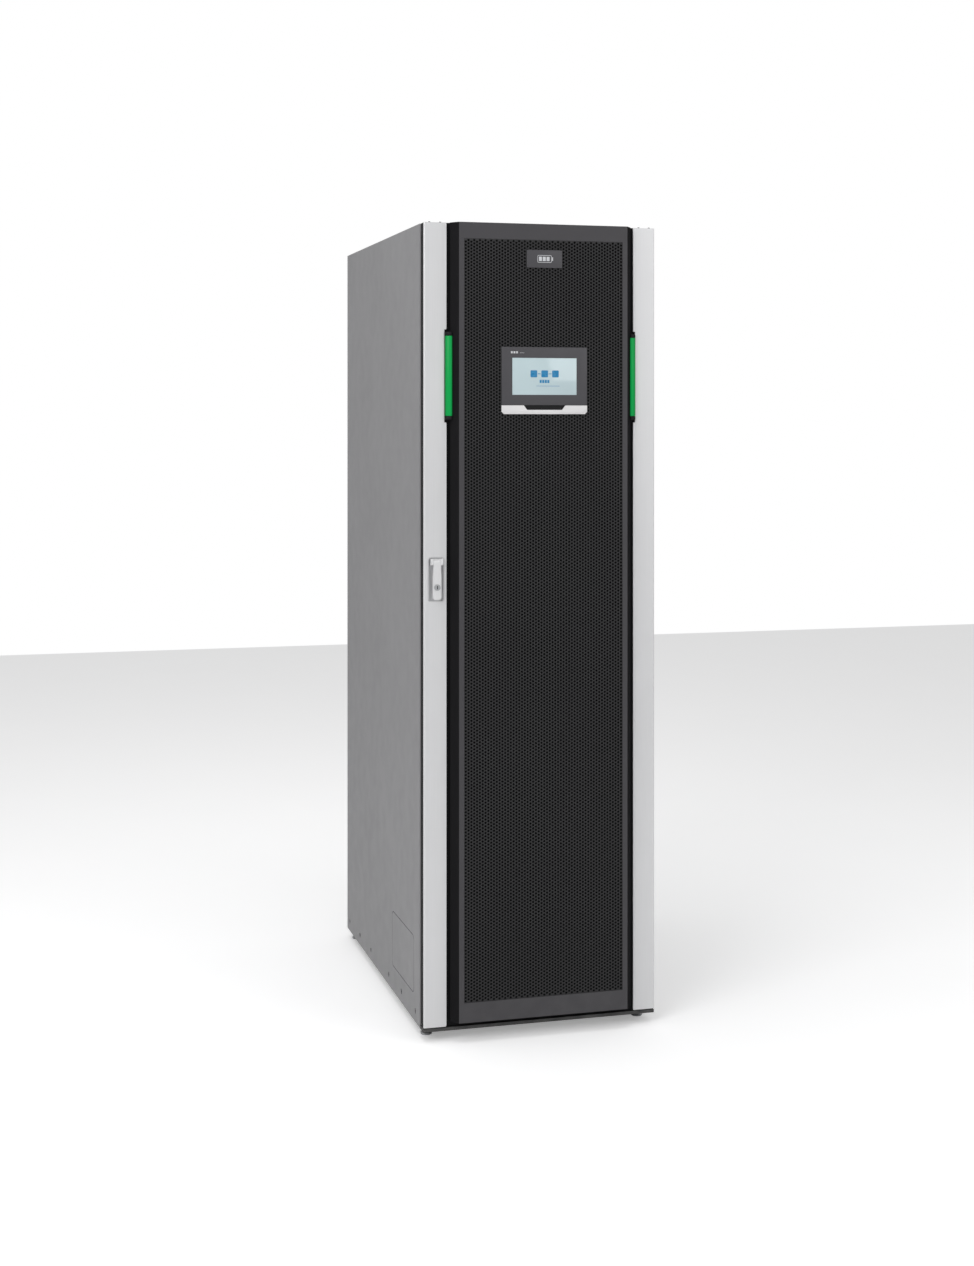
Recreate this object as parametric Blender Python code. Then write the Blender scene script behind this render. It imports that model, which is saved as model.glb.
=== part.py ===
"""Floor-standing battery-backed power cabinet, modelled in metres.

+Z is up, the front door faces -Y, the floor is Z = 0 and the origin is the middle of the footprint.
Each object is one physical piece. Pieces that move have their origin on their joint's axis.
"""

from math import cos, pi, radians, sin

import bmesh
import bpy
from mathutils import Matrix, Vector

# ---------------------------------------------------------------- driving dimensions
CABINET_WIDTH = 0.560
CABINET_HEIGHT = 1.876
CABINET_DEPTH = 0.914  # trims' front faces to the rear panel's back

GAP = 0.0003  # between pieces that touch
SIDE_SHEET = 0.0015
THIN_SHEET = 0.0012
FRAME_SHEET = 0.003
POST_SHEET = 0.002

SIDE_PANEL_BOTTOM = 0.023
SIDE_PANEL_RETURN = 0.008  # folded front edge on the hinge side
TRIM_RISE = 0.002  # trims' tops above the roof
DOOR_BOTTOM = 0.034
DOOR_ZONE = 0.038  # trims' front faces to the side panels' front edges
DOOR_GAP = 0.0025
DOOR_PAN_INSET = 0.0025

TRIM_WIDTH = 0.0525
TRIM_INSET = 0.0005
TRIM_THICKNESS = 0.006
TRIM_CORNER = 0.0035

TRIM_GROOVE = 0.009  # trims' inner edges to the centre panel
CENTRE_SLOPE_WIDTH = 0.015
CENTRE_RISE = 0.0125  # centre panel's bottom above the door's
CENTRE_PROUD = 0.0255
CENTRE_SLOPE = 0.021
WINDOW_SIDE_MARGIN = 0.0122
WINDOW_BOTTOM_MARGIN = 0.058
WINDOW_TOP_MARGIN = 0.037

DISPLAY_PROUD = 0.029
DISPLAY_HALF_WIDTH = 0.103
DISPLAY_BOTTOM = 1.4355
DISPLAY_HEIGHT = 0.1545
DISPLAY_STRIP = 0.0202
DISPLAY_EDGE = 0.0075
SCREEN_HALF_WIDTH = 0.0777
SCREEN_BOTTOM = 1.4796
SCREEN_HEIGHT = 0.0857
NOTCH_HALF_TOP = 0.050
NOTCH_HALF_BOTTOM = 0.042
NOTCH_DEPTH = 0.0103

BADGE_HALF_WIDTH = 0.0425
BADGE_HEIGHT = 0.041
BADGE_BELOW_TOP = 0.060

LIGHT_BOTTOM = 1.431
LIGHT_TOP = 1.615
LIGHT_LAP = 0.002  # light bars' edges onto the trims
LIGHT_NOTCH_SIDE = 0.0043
LIGHT_NOTCH_END = 0.0145

HANDLE_OFFSET = 0.00275  # handle's middle in from the trim's
HANDLE_DISH_WIDTH = 0.0375
HANDLE_DISH_BOTTOM = 1.007
HANDLE_DISH_TOP = 1.108
HANDLE_DISH_DEPTH = 0.010
LEVER_PIVOT_Z = 1.097
LEVER_PIVOT_PROUD = 0.0065
LEVER_BOTTOM = 1.012
LEVER_WIDTH = 0.019
LEVER_TONGUE = 0.0167
LEVER_THICKNESS = 0.010
LOCK_Z = 1.040
LOCK_RADIUS = 0.0072
PINION_RADIUS = 0.009
ROD_WIDTH = 0.008
ROD_THICKNESS = 0.004
ROD_DEPTH = 0.019  # trims' front faces to the middle of the rods

HINGE_SIDE = 0.010  # door axis in from the cabinet's side
HINGE_BACK = 0.012  # door axis in front of the door's back edge
HINGE_PIN_RADIUS = 0.0025
HINGE_KNUCKLE_RADIUS = 0.0053
HINGE_KNUCKLE_HEIGHT = 0.030
HINGE_ARM = 0.0015
UPPER_HINGE_Z = 1.700
LOWER_HINGE_Z = 0.190

BASE_BOTTOM = 0.026
BASE_HEIGHT = 0.049
LIP_SETBACK = 0.004  # base lip's front behind the trims'
LIP_GAP = 0.0035  # base lip's top below the door
RING_FLANGE = 0.040
TOP_FRAME_HEIGHT = 0.040
POST_WIDTH = 0.048
POST_DEPTH = 0.040
POST_SETBACK = 0.016

FOOT_RADIUS = 0.0135
FOOT_PAD_HEIGHT = 0.008
FOOT_STUD_RADIUS = 0.005
FOOT_INSET_X = 0.0215
FOOT_INSET_Y = 0.026

BATTERY_COUNT = 4
BATTERY_HEIGHT = 0.176
BATTERY_DEPTH = 0.640
BATTERY_HEADROOM = 0.014
GRIP_INNER = 0.105
GRIP_OUTER = 0.175
RACK_SHEET = 0.002
RACK_FRONT_SETBACK = 0.050
POWER_HEIGHT = 0.260
STATIC_HEIGHT = 0.175
ELECTRONICS_DEPTH = 0.620
FAN_RADIUS = 0.066
FAN_DEPTH = 0.030
FAN_SPACING = 0.100
BREAKER_PANEL_RISE = 0.010
BREAKER_PANEL_HEIGHT = 0.300
BREAKER_X = -0.095
BYPASS_X = 0.105
LEAD_RADIUS = 0.006

KNOCKOUT_FRONT = 0.063
KNOCKOUT_LENGTH = 0.232
KNOCKOUT_BOTTOM = 0.086
KNOCKOUT_HEIGHT = 0.132
KNOCKOUT_RADIUS = 0.012
KNOCKOUT_GAP = 0.0008
KNOCKOUT_FLANGE = 0.006

VENT_HALF_WIDTH = 0.200
VENT_BOTTOM = 0.940
VENT_TOP = 1.640
GRILLE_LAP = 0.012
ROOF_HOLE_HALF = 0.150
ROOF_HOLE_DEPTH = 0.120
ROOF_HOLE_FROM_REAR = 0.070

KEEPER_SHEET = 0.003
KEEPER_WIDTH = 0.014
KEEPER_CLEARANCE = 0.0012  # lower keeper to the side panel's folded edge
KEEPER_REACH = 0.008  # in front of the rods
SLOT_CLEARANCE = 0.0006
ROD_ENTRY = 0.010  # how far a latched rod's end passes its keeper

DISH_CLEARANCE = 0.0004
DISH_CORNER = 0.006
DISH_WALL = 0.0012
LOCK_CASE_HALF = 0.0245
LOCK_CASE_HEIGHT = 0.060
LOCK_CASE_DEPTH = 0.020
SPINDLE_RADIUS = 0.006
FORK_WIDTH = 0.0285
FORK_SLOT = 0.0175
FORK_PIN_RADIUS = 0.0015
LEVER_HEAD_RADIUS = 0.005
RUNNING = 0.0001

LIGHT_CLEARANCE = 0.0006
LIGHT_PROUD = 0.0125  # lens front ahead of the trims

BREAKER_HALF = 0.045
BREAKER_TALL = 0.130
BREAKER_PROUD = 0.024
TOGGLE_HALF = 0.011
TOGGLE_HUB = 0.009
TOGGLE_TILT = 28
KNOB_RADIUS = 0.026

# ---------------------------------------------------------------- places worked out from them
HALF_WIDTH = CABINET_WIDTH / 2
INNER_HALF = HALF_WIDTH - SIDE_SHEET - GAP
FRONT_Y = -(CABINET_DEPTH + DISPLAY_PROUD) / 2
TRIM_Y = FRONT_Y + DISPLAY_PROUD
REAR_Y = TRIM_Y + CABINET_DEPTH
SIDE_Y = TRIM_Y + DOOR_ZONE
CENTRE_Y = TRIM_Y - CENTRE_PROUD
DOOR_BACK_Y = SIDE_Y - DOOR_GAP
ROOF_Z = CABINET_HEIGHT - TRIM_RISE
PAN_HALF = HALF_WIDTH - DOOR_PAN_INSET
PAN_Y = TRIM_Y + TRIM_THICKNESS + GAP
TRIM_OUTER = HALF_WIDTH - TRIM_INSET
TRIM_INNER = TRIM_OUTER - TRIM_WIDTH
TRIM_MIDDLE = (TRIM_OUTER + TRIM_INNER) / 2
CENTRE_HALF_BASE = TRIM_INNER - TRIM_GROOVE
CENTRE_HALF_FRONT = CENTRE_HALF_BASE - CENTRE_SLOPE_WIDTH
CENTRE_BOTTOM = DOOR_BOTTOM + CENTRE_RISE
WINDOW_HALF = CENTRE_HALF_FRONT - WINDOW_SIDE_MARGIN
LIGHT_OUTER = TRIM_INNER + LIGHT_LAP
HANDLE_X = HANDLE_OFFSET - TRIM_MIDDLE
HINGE_X = HALF_WIDTH - HINGE_SIDE
HINGE_Y = DOOR_BACK_Y - HINGE_BACK
WINDOW_BOTTOM = DOOR_BOTTOM + WINDOW_BOTTOM_MARGIN
WINDOW_TOP = ROOF_Z - WINDOW_TOP_MARGIN
BASE_TOP = BASE_BOTTOM + BASE_HEIGHT
FLOOR_PLATE_TOP = BASE_TOP + GAP + FRAME_SHEET
TOP_FRAME_TOP = ROOF_Z - SIDE_SHEET - GAP
TOP_FRAME_BOTTOM = TOP_FRAME_TOP - TOP_FRAME_HEIGHT
RING_FRONT = SIDE_Y + SIDE_SHEET + GAP
RING_REAR = REAR_Y - SIDE_SHEET - THIN_SHEET - 2 * GAP
POST_FRONT = SIDE_Y + POST_SETBACK
RACK_FRONT = SIDE_Y + RACK_FRONT_SETBACK
RACK_BOTTOM = FLOOR_PLATE_TOP + GAP
RACK_PITCH = BATTERY_HEIGHT + RACK_SHEET + BATTERY_HEADROOM
RACK_TOP = RACK_BOTTOM + BATTERY_COUNT * RACK_PITCH + RACK_SHEET
BAY_HALF = INNER_HALF - POST_WIDTH - GAP
BATTERY_HALF = BAY_HALF - RACK_SHEET - GAP
POWER_BOTTOM = RACK_TOP + GAP
STATIC_BOTTOM = POWER_BOTTOM + POWER_HEIGHT + GAP
BREAKER_PANEL_BOTTOM = STATIC_BOTTOM + STATIC_HEIGHT + BREAKER_PANEL_RISE
BREAKER_Z = BREAKER_PANEL_BOTTOM + BREAKER_PANEL_HEIGHT / 2
ROD_Y = TRIM_Y + ROD_DEPTH
UPPER_KEEPER_Z = TOP_FRAME_TOP - 0.020
LOWER_KEEPER_Z = BASE_BOTTOM + 0.036
ROD_TRAVEL = PINION_RADIUS * pi / 2
ROD_OFFSET = PINION_RADIUS + GAP + ROD_WIDTH / 2
LATCH_SIDE_RETURN = HALF_WIDTH + HANDLE_X - ROD_OFFSET - KEEPER_WIDTH / 2 - KEEPER_CLEARANCE

FINISHES = {
    "side_paint": ((0.25, 0.25, 0.26), 0.55, 0.0),
    "door_paint": ((0.065, 0.063, 0.068), 0.5, 0.0),
    "dark_steel": ((0.02, 0.02, 0.022), 0.55, 0.2),
    "satin_aluminium": ((0.62, 0.63, 0.64), 0.35, 0.9),
    "zinc_steel": ((0.5, 0.51, 0.53), 0.4, 1.0),
    "green_lens": ((0.02, 0.42, 0.13), 0.25, 0.0),
    "display_plastic": ((0.09, 0.088, 0.096), 0.4, 0.0),
    "pale_plastic": ((0.78, 0.77, 0.77), 0.35, 0.0),
    "screen_glass": ((0.52, 0.61, 0.63), 0.12, 0.0),
    "black_plastic": ((0.015, 0.015, 0.017), 0.5, 0.0),
    "battery_case": ((0.05, 0.055, 0.06), 0.6, 0.0),
    "lever_metal": ((0.7, 0.71, 0.72), 0.3, 0.9),
    "orange_lead": ((0.75, 0.2, 0.03), 0.5, 0.0),
}


# ---------------------------------------------------------------- modelling helpers
def clear_scene():
    for old in list(bpy.data.objects):
        bpy.data.objects.remove(old, do_unlink=True)


def material(finish):
    found = bpy.data.materials.get(finish)
    if found:
        return found
    colour, roughness, metallic = FINISHES[finish]
    made = bpy.data.materials.new(finish)
    made.use_nodes = True
    shader = made.node_tree.nodes["Principled BSDF"]
    shader.inputs["Base Color"].default_value = (*colour, 1.0)
    shader.inputs["Roughness"].default_value = roughness
    shader.inputs["Metallic"].default_value = metallic
    return made


def box_mesh(low, high):
    """A block between two corners."""
    bm = bmesh.new()
    low, high = Vector(low), Vector(high)
    bmesh.ops.create_cube(bm, size=1.0)
    bmesh.ops.scale(bm, vec=high - low, verts=bm.verts)
    bmesh.ops.translate(bm, vec=(low + high) / 2, verts=bm.verts)
    return bm


def round_mesh(centre, radius, low, high, axis="Z", segments=24):
    """A cylinder whose ends are at low and high along its axis; centre gives the other two coordinates."""
    bm = bmesh.new()
    bmesh.ops.create_cone(
        bm, cap_ends=True, segments=segments, radius1=radius, radius2=radius, depth=high - low
    )
    middle = (low + high) / 2
    if axis == "Z":
        place = Vector((centre[0], centre[1], middle))
        turn = Matrix.Identity(3)
    elif axis == "Y":
        place = Vector((centre[0], middle, centre[1]))
        turn = Matrix.Rotation(pi / 2, 3, "X")
    else:
        place = Vector((middle, centre[0], centre[1]))
        turn = Matrix.Rotation(pi / 2, 3, "Y")
    bmesh.ops.rotate(bm, cent=(0, 0, 0), matrix=turn, verts=bm.verts)
    bmesh.ops.translate(bm, vec=place, verts=bm.verts)
    return bm


def prism_mesh(outline, low, high, axis="Z"):
    """An outline of pairs extruded from low to high: (x, y) along Z, (x, z) along Y or (y, z) along X."""
    bm = bmesh.new()
    placed = {
        "Z": lambda a, b: (a, b, low),
        "Y": lambda a, b: (a, low, b),
        "X": lambda a, b: (low, a, b),
    }[axis]
    along = {"Z": (0, 0, 1), "Y": (0, 1, 0), "X": (1, 0, 0)}[axis]
    face = bm.faces.new([bm.verts.new(placed(*point)) for point in outline])
    grown = bmesh.ops.extrude_face_region(bm, geom=[face])["geom"]
    moved = [item for item in grown if isinstance(item, bmesh.types.BMVert)]
    bmesh.ops.translate(bm, vec=Vector(along) * (high - low), verts=moved)
    bmesh.ops.recalc_face_normals(bm, faces=bm.faces)
    return bm


def add(name, bm, finish, pivot=(0.0, 0.0, 0.0), smooth=False):
    """Makes an object from a mesh given in world coordinates, with its origin at the pivot."""
    bmesh.ops.recalc_face_normals(bm, faces=bm.faces)
    bmesh.ops.translate(bm, vec=-Vector(pivot), verts=bm.verts)
    mesh = bpy.data.meshes.new(name)
    bm.to_mesh(mesh)
    bm.free()
    mesh.materials.append(material(finish))
    made = bpy.data.objects.new(name, mesh)
    made.location = pivot
    bpy.context.scene.collection.objects.link(made)
    if smooth:
        mesh.shade_smooth()
        mesh.set_sharp_from_angle(angle=radians(35))
    return made


def helper(bm, label):
    """A hidden object that a Boolean cuts with or adds."""
    made = add(label, bm, "dark_steel")
    made.hide_render = True
    made.display_type = "WIRE"
    return made


def combine(target, bm, operation, label):
    """Adds a Boolean with its own hidden operand, kept in place whatever the target's origin."""
    modifier = target.modifiers.new(label, "BOOLEAN")
    modifier.operation = operation
    modifier.solver = "EXACT"
    modifier.object = helper(bm, f"{target.name}.{label}")


def cut(target, bm, label):
    combine(target, bm, "DIFFERENCE", label)


def unite(target, bm, label):
    combine(target, bm, "UNION", label)


def round_edges(target, width, segments=1, angle=60):
    """A Bevel on the sharp edges."""
    modifier = target.modifiers.new("edges", "BEVEL")
    modifier.width = width
    modifier.segments = segments
    modifier.limit_method = "ANGLE"
    modifier.angle_limit = radians(angle)


def rounded_outline(low, high, radius, steps=4):
    """The corners of a rounded rectangle, anticlockwise from its lower right arc."""
    points = []
    corners = (
        (high[0] - radius, low[1] + radius, -90),
        (high[0] - radius, high[1] - radius, 0),
        (low[0] + radius, high[1] - radius, 90),
        (low[0] + radius, low[1] + radius, 180),
    )
    for x, y, start in corners:
        for step in range(steps + 1):
            angle = radians(start + 90 * step / steps)
            points.append((x + radius * cos(angle), y + radius * sin(angle)))
    return points


def mirrored(outline, side):
    """An outline on the +X side, or its mirror image on the -X side."""
    return [(side * x, y) for x, y in outline]


def ring_mesh_into(name, low_z, high_z):
    """A rectangular ring of inward-facing channel, the shape of the base and of the top frame."""
    ring = add(name, box_mesh((-INNER_HALF, RING_FRONT, low_z), (INNER_HALF, RING_REAR, high_z)), "dark_steel")
    inner = INNER_HALF - FRAME_SHEET
    front = RING_FRONT + FRAME_SHEET
    rear = RING_REAR - FRAME_SHEET
    cut(ring, box_mesh((-inner, front, low_z + FRAME_SHEET), (inner, rear, high_z - FRAME_SHEET)), "channel")
    cut(
        ring,
        box_mesh(
            (-INNER_HALF + RING_FLANGE, RING_FRONT + RING_FLANGE, low_z - 0.01),
            (INNER_HALF - RING_FLANGE, RING_REAR - RING_FLANGE, high_z + 0.01),
        ),
        "middle",
    )
    return ring


# ---------------------------------------------------------------- cabinet
def foot_places():
    front = RING_FRONT + FOOT_INSET_Y
    rear = RING_REAR - FOOT_INSET_Y
    across = HALF_WIDTH - FOOT_INSET_X
    return {
        "front_left": (-across, front),
        "front_right": (across, front),
        "rear_left": (-across, rear),
        "rear_right": (across, rear),
    }


def make_frame():
    base = ring_mesh_into("base_frame", BASE_BOTTOM, BASE_TOP)
    for corner, place in foot_places().items():
        hole = round_mesh(place, FOOT_STUD_RADIUS + 0.0005, BASE_BOTTOM - 0.005, BASE_BOTTOM + 0.010)
        cut(base, hole, f"hole_{corner}")
    lip_low = SIDE_PANEL_BOTTOM
    lip_high = DOOR_BOTTOM - LIP_GAP
    lip_back = SIDE_Y - GAP
    lip_neck = HALF_WIDTH - max(SIDE_PANEL_RETURN, LATCH_SIDE_RETURN) - SIDE_SHEET
    lip = box_mesh((-TRIM_OUTER, TRIM_Y + LIP_SETBACK, lip_low), (TRIM_OUTER, lip_back, lip_high))
    unite(base, lip, "lip")
    neck = box_mesh((-lip_neck, lip_back - SIDE_SHEET, BASE_BOTTOM), (lip_neck, RING_FRONT + SIDE_SHEET, lip_high))
    unite(base, neck, "lip_neck")
    low = (-INNER_HALF, RING_FRONT, BASE_TOP + GAP)
    high = (INNER_HALF, RING_REAR, FLOOR_PLATE_TOP)
    add("floor_plate", box_mesh(low, high), "zinc_steel")
    ring_mesh_into("top_frame", TOP_FRAME_BOTTOM, TOP_FRAME_TOP)
    posts = {
        "front_left_post": (-1, POST_FRONT, 1),
        "front_right_post": (1, POST_FRONT, 1),
        "rear_left_post": (-1, RING_REAR, -1),
        "rear_right_post": (1, RING_REAR, -1),
    }
    outer = INNER_HALF
    inner = INNER_HALF - POST_WIDTH
    for name, (side, face, inward) in posts.items():
        back = face + inward * POST_DEPTH
        web = face + inward * POST_SHEET
        outline = [
            (outer, face),
            (outer, back),
            (outer - POST_SHEET, back),
            (outer - POST_SHEET, web),
            (inner + POST_SHEET, web),
            (inner + POST_SHEET, back),
            (inner, back),
            (inner, face),
        ]
        bm = prism_mesh(mirrored(outline, side), FLOOR_PLATE_TOP + GAP, TOP_FRAME_BOTTOM - GAP)
        add(name, bm, "zinc_steel")


def make_feet():
    """Screwed feet; each stud runs up through the base frame's lower flange."""
    for corner, place in foot_places().items():
        pivot = (place[0], place[1], 0.0)
        pad = round_mesh(place, FOOT_RADIUS, 0.0, FOOT_PAD_HEIGHT)
        foot = add(f"{corner}_foot", pad, "black_plastic", pivot=pivot, smooth=True)
        stud = round_mesh(place, FOOT_STUD_RADIUS, FOOT_PAD_HEIGHT - 0.002, BASE_TOP - 0.009)
        unite(foot, stud, "stud")


def knockout_outline(grow):
    low = (SIDE_Y + KNOCKOUT_FRONT - grow, KNOCKOUT_BOTTOM - grow)
    high = (SIDE_Y + KNOCKOUT_FRONT + KNOCKOUT_LENGTH + grow, KNOCKOUT_BOTTOM + KNOCKOUT_HEIGHT + grow)
    return rounded_outline(low, high, KNOCKOUT_RADIUS + grow)


def make_side_panels():
    """Folded trays: a flat side with a narrow return at the front edge, and a cable knock-out low down."""
    for name, side, fold in (("left", -1, LATCH_SIDE_RETURN), ("right", 1, SIDE_PANEL_RETURN)):
        outline = [
            (HALF_WIDTH, SIDE_Y),
            (HALF_WIDTH, REAR_Y),
            (HALF_WIDTH - SIDE_SHEET, REAR_Y),
            (HALF_WIDTH - SIDE_SHEET, SIDE_Y + SIDE_SHEET),
            (HALF_WIDTH - fold, SIDE_Y + SIDE_SHEET),
            (HALF_WIDTH - fold, SIDE_Y),
        ]
        bm = prism_mesh(mirrored(outline, side), SIDE_PANEL_BOTTOM, ROOF_Z)
        panel = add(f"{name}_side_panel", bm, "side_paint")
        inside, outside = sorted((side * (HALF_WIDTH - 0.005), side * (HALF_WIDTH + 0.005)))
        cut(panel, prism_mesh(knockout_outline(KNOCKOUT_GAP), inside, outside, "X"), "knockout_hole")
        face = side * HALF_WIDTH
        back = side * (HALF_WIDTH - SIDE_SHEET - GAP)
        low, high = sorted((face, back))
        plate = add(f"{name}_knockout_plate", prism_mesh(knockout_outline(0.0), low, high, "X"), "side_paint")
        low, high = sorted((back + side * 0.0001, back - side * THIN_SHEET))
        unite(plate, prism_mesh(knockout_outline(KNOCKOUT_FLANGE), low, high, "X"), "flange")


def make_covers():
    roof = add(
        "roof_panel",
        box_mesh((-INNER_HALF, RING_FRONT, ROOF_Z - SIDE_SHEET), (INNER_HALF, REAR_Y, ROOF_Z)),
        "side_paint",
    )
    hole_rear = REAR_Y - ROOF_HOLE_FROM_REAR
    hole_front = hole_rear - ROOF_HOLE_DEPTH
    cut(
        roof,
        box_mesh((-ROOF_HOLE_HALF, hole_front, ROOF_Z - 0.01), (ROOF_HOLE_HALF, hole_rear, ROOF_Z + 0.01)),
        "cable_hole",
    )
    add(
        "roof_cable_plate",
        box_mesh(
            (-ROOF_HOLE_HALF - GRILLE_LAP, hole_front - GRILLE_LAP, ROOF_Z + GAP),
            (ROOF_HOLE_HALF + GRILLE_LAP, hole_rear + GRILLE_LAP, CABINET_HEIGHT),
        ),
        "side_paint",
    )
    rear_top = ROOF_Z - SIDE_SHEET - GAP
    rear = add(
        "rear_panel",
        box_mesh((-INNER_HALF, REAR_Y - SIDE_SHEET, SIDE_PANEL_BOTTOM), (INNER_HALF, REAR_Y, rear_top)),
        "side_paint",
    )
    cut(
        rear,
        box_mesh((-VENT_HALF_WIDTH, REAR_Y - 0.01, VENT_BOTTOM), (VENT_HALF_WIDTH, REAR_Y + 0.01, VENT_TOP)),
        "vent",
    )
    grille_y = REAR_Y - SIDE_SHEET - GAP
    add(
        "rear_grille",
        box_mesh(
            (-VENT_HALF_WIDTH - GRILLE_LAP, grille_y - THIN_SHEET, VENT_BOTTOM - GRILLE_LAP),
            (VENT_HALF_WIDTH + GRILLE_LAP, grille_y, VENT_TOP + GRILLE_LAP),
        ),
        "dark_steel",
    )


# ---------------------------------------------------------------- hinges and latch keepers
def make_hinges():
    """Each hinge is a bracket on the front post, a pin, and a leaf bolted inside the door pan."""
    axis = (HINGE_X, HINGE_Y)
    for name, middle in (("upper", UPPER_HINGE_Z), ("lower", LOWER_HINGE_Z)):
        low = middle - HINGE_KNUCKLE_HEIGHT
        high = middle + HINGE_KNUCKLE_HEIGHT
        bracket = add(
            f"{name}_hinge_bracket",
            round_mesh(axis, HINGE_KNUCKLE_RADIUS, low, middle - GAP),
            "zinc_steel",
        )
        plate_back = POST_FRONT - GAP
        arm = box_mesh((HINGE_X - 0.005, HINGE_Y, low), (HINGE_X + HINGE_ARM, plate_back, middle - GAP))
        unite(bracket, arm, "arm")
        plate = box_mesh(
            (HINGE_X - 0.036, plate_back - FRAME_SHEET, low), (HINGE_X + HINGE_ARM, plate_back, middle - GAP)
        )
        unite(bracket, plate, "plate")
        bore = round_mesh(axis, HINGE_PIN_RADIUS + GAP, low - 0.01, high + 0.01)
        cut(bracket, bore, "bore")
        pin = round_mesh(axis, HINGE_PIN_RADIUS, low - 0.002, high + 0.002)
        add(f"{name}_hinge_pin", pin, "zinc_steel", smooth=True)
        leaf = add(
            f"{name}_hinge_leaf",
            round_mesh(axis, HINGE_KNUCKLE_RADIUS, middle + GAP, high),
            "zinc_steel",
            pivot=(HINGE_X, HINGE_Y, middle),
        )
        web = PAN_Y + SIDE_SHEET + GAP
        arm = box_mesh((HINGE_X - 0.005, web, middle + GAP), (HINGE_X + HINGE_ARM, HINGE_Y, high))
        unite(leaf, arm, "arm")
        plate = box_mesh((HINGE_X - 0.040, web, middle + GAP), (HINGE_X + HINGE_ARM, web + 0.0025, high))
        unite(leaf, plate, "plate")
        bore = round_mesh(axis, HINGE_PIN_RADIUS + 0.0001, middle - 0.01, high + 0.01)
        cut(leaf, bore, "bore")


def make_keepers():
    """Slotted plates that the latch rods enter, open towards the front."""
    front = ROD_Y - KEEPER_REACH
    face = RING_FRONT - GAP
    for name, side, z, turn in (
        ("upper", 1, UPPER_KEEPER_Z, -1),
        ("lower", -1, LOWER_KEEPER_Z, 1),
    ):
        x = HANDLE_X + side * ROD_OFFSET
        flat = box_mesh((x - KEEPER_WIDTH / 2, front, z), (x + KEEPER_WIDTH / 2, face, z + KEEPER_SHEET))
        keeper = add(f"{name}_latch_keeper", flat, "zinc_steel")
        ends = sorted((z, z + turn * 0.016))
        foot = box_mesh(
            (x - KEEPER_WIDTH / 2, face - KEEPER_SHEET, ends[0]), (x + KEEPER_WIDTH / 2, face, ends[1] + 0.001)
        )
        unite(keeper, foot, "foot")
        half = ROD_WIDTH / 2 + SLOT_CLEARANCE
        slot_back = ROD_Y + ROD_THICKNESS / 2 + SLOT_CLEARANCE
        slot = box_mesh((x - half, front - 0.01, z - 0.01), (x + half, slot_back, z + 0.01))
        cut(keeper, slot, "slot")


# ---------------------------------------------------------------- door
def make_door_pan():
    """A shallow pan behind the trims: front web with a window, and returns on all four sides."""
    top = ROOF_Z
    pan = add(
        "door_frame",
        box_mesh((-PAN_HALF, PAN_Y, DOOR_BOTTOM), (PAN_HALF, DOOR_BACK_Y, top)),
        "dark_steel",
        pivot=(HINGE_X, HINGE_Y, 0.0),
    )
    inner = PAN_HALF - SIDE_SHEET
    cut(
        pan,
        box_mesh(
            (-inner, PAN_Y + SIDE_SHEET, DOOR_BOTTOM + SIDE_SHEET),
            (inner, DOOR_BACK_Y + 0.01, top - SIDE_SHEET),
        ),
        "hollow",
    )
    cut(
        pan,
        box_mesh(
            (-WINDOW_HALF, PAN_Y - 0.01, WINDOW_BOTTOM), (WINDOW_HALF, PAN_Y + 0.01, WINDOW_TOP)
        ),
        "window",
    )
    for name, middle in (("upper", UPPER_HINGE_Z), ("lower", LOWER_HINGE_Z)):
        notch = box_mesh(
            (PAN_HALF - 0.005, HINGE_Y - 0.006, middle - HINGE_KNUCKLE_HEIGHT - 0.005),
            (PAN_HALF + 0.005, DOOR_BACK_Y + 0.01, middle + HINGE_KNUCKLE_HEIGHT + 0.005),
        )
        cut(pan, notch, f"notch_{name}")
    cut(pan, handle_hole(PAN_Y - 0.01, PAN_Y + 0.01, DISH_CLEARANCE), "dish_hole")
    return pan


def handle_hole(front, back, grow):
    half = HANDLE_DISH_WIDTH / 2 + grow
    low = (HANDLE_X - half, HANDLE_DISH_BOTTOM - grow)
    high = (HANDLE_X + half, HANDLE_DISH_TOP + grow)
    return prism_mesh(rounded_outline(low, high, DISH_CORNER + grow), front, back, "Y")


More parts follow.
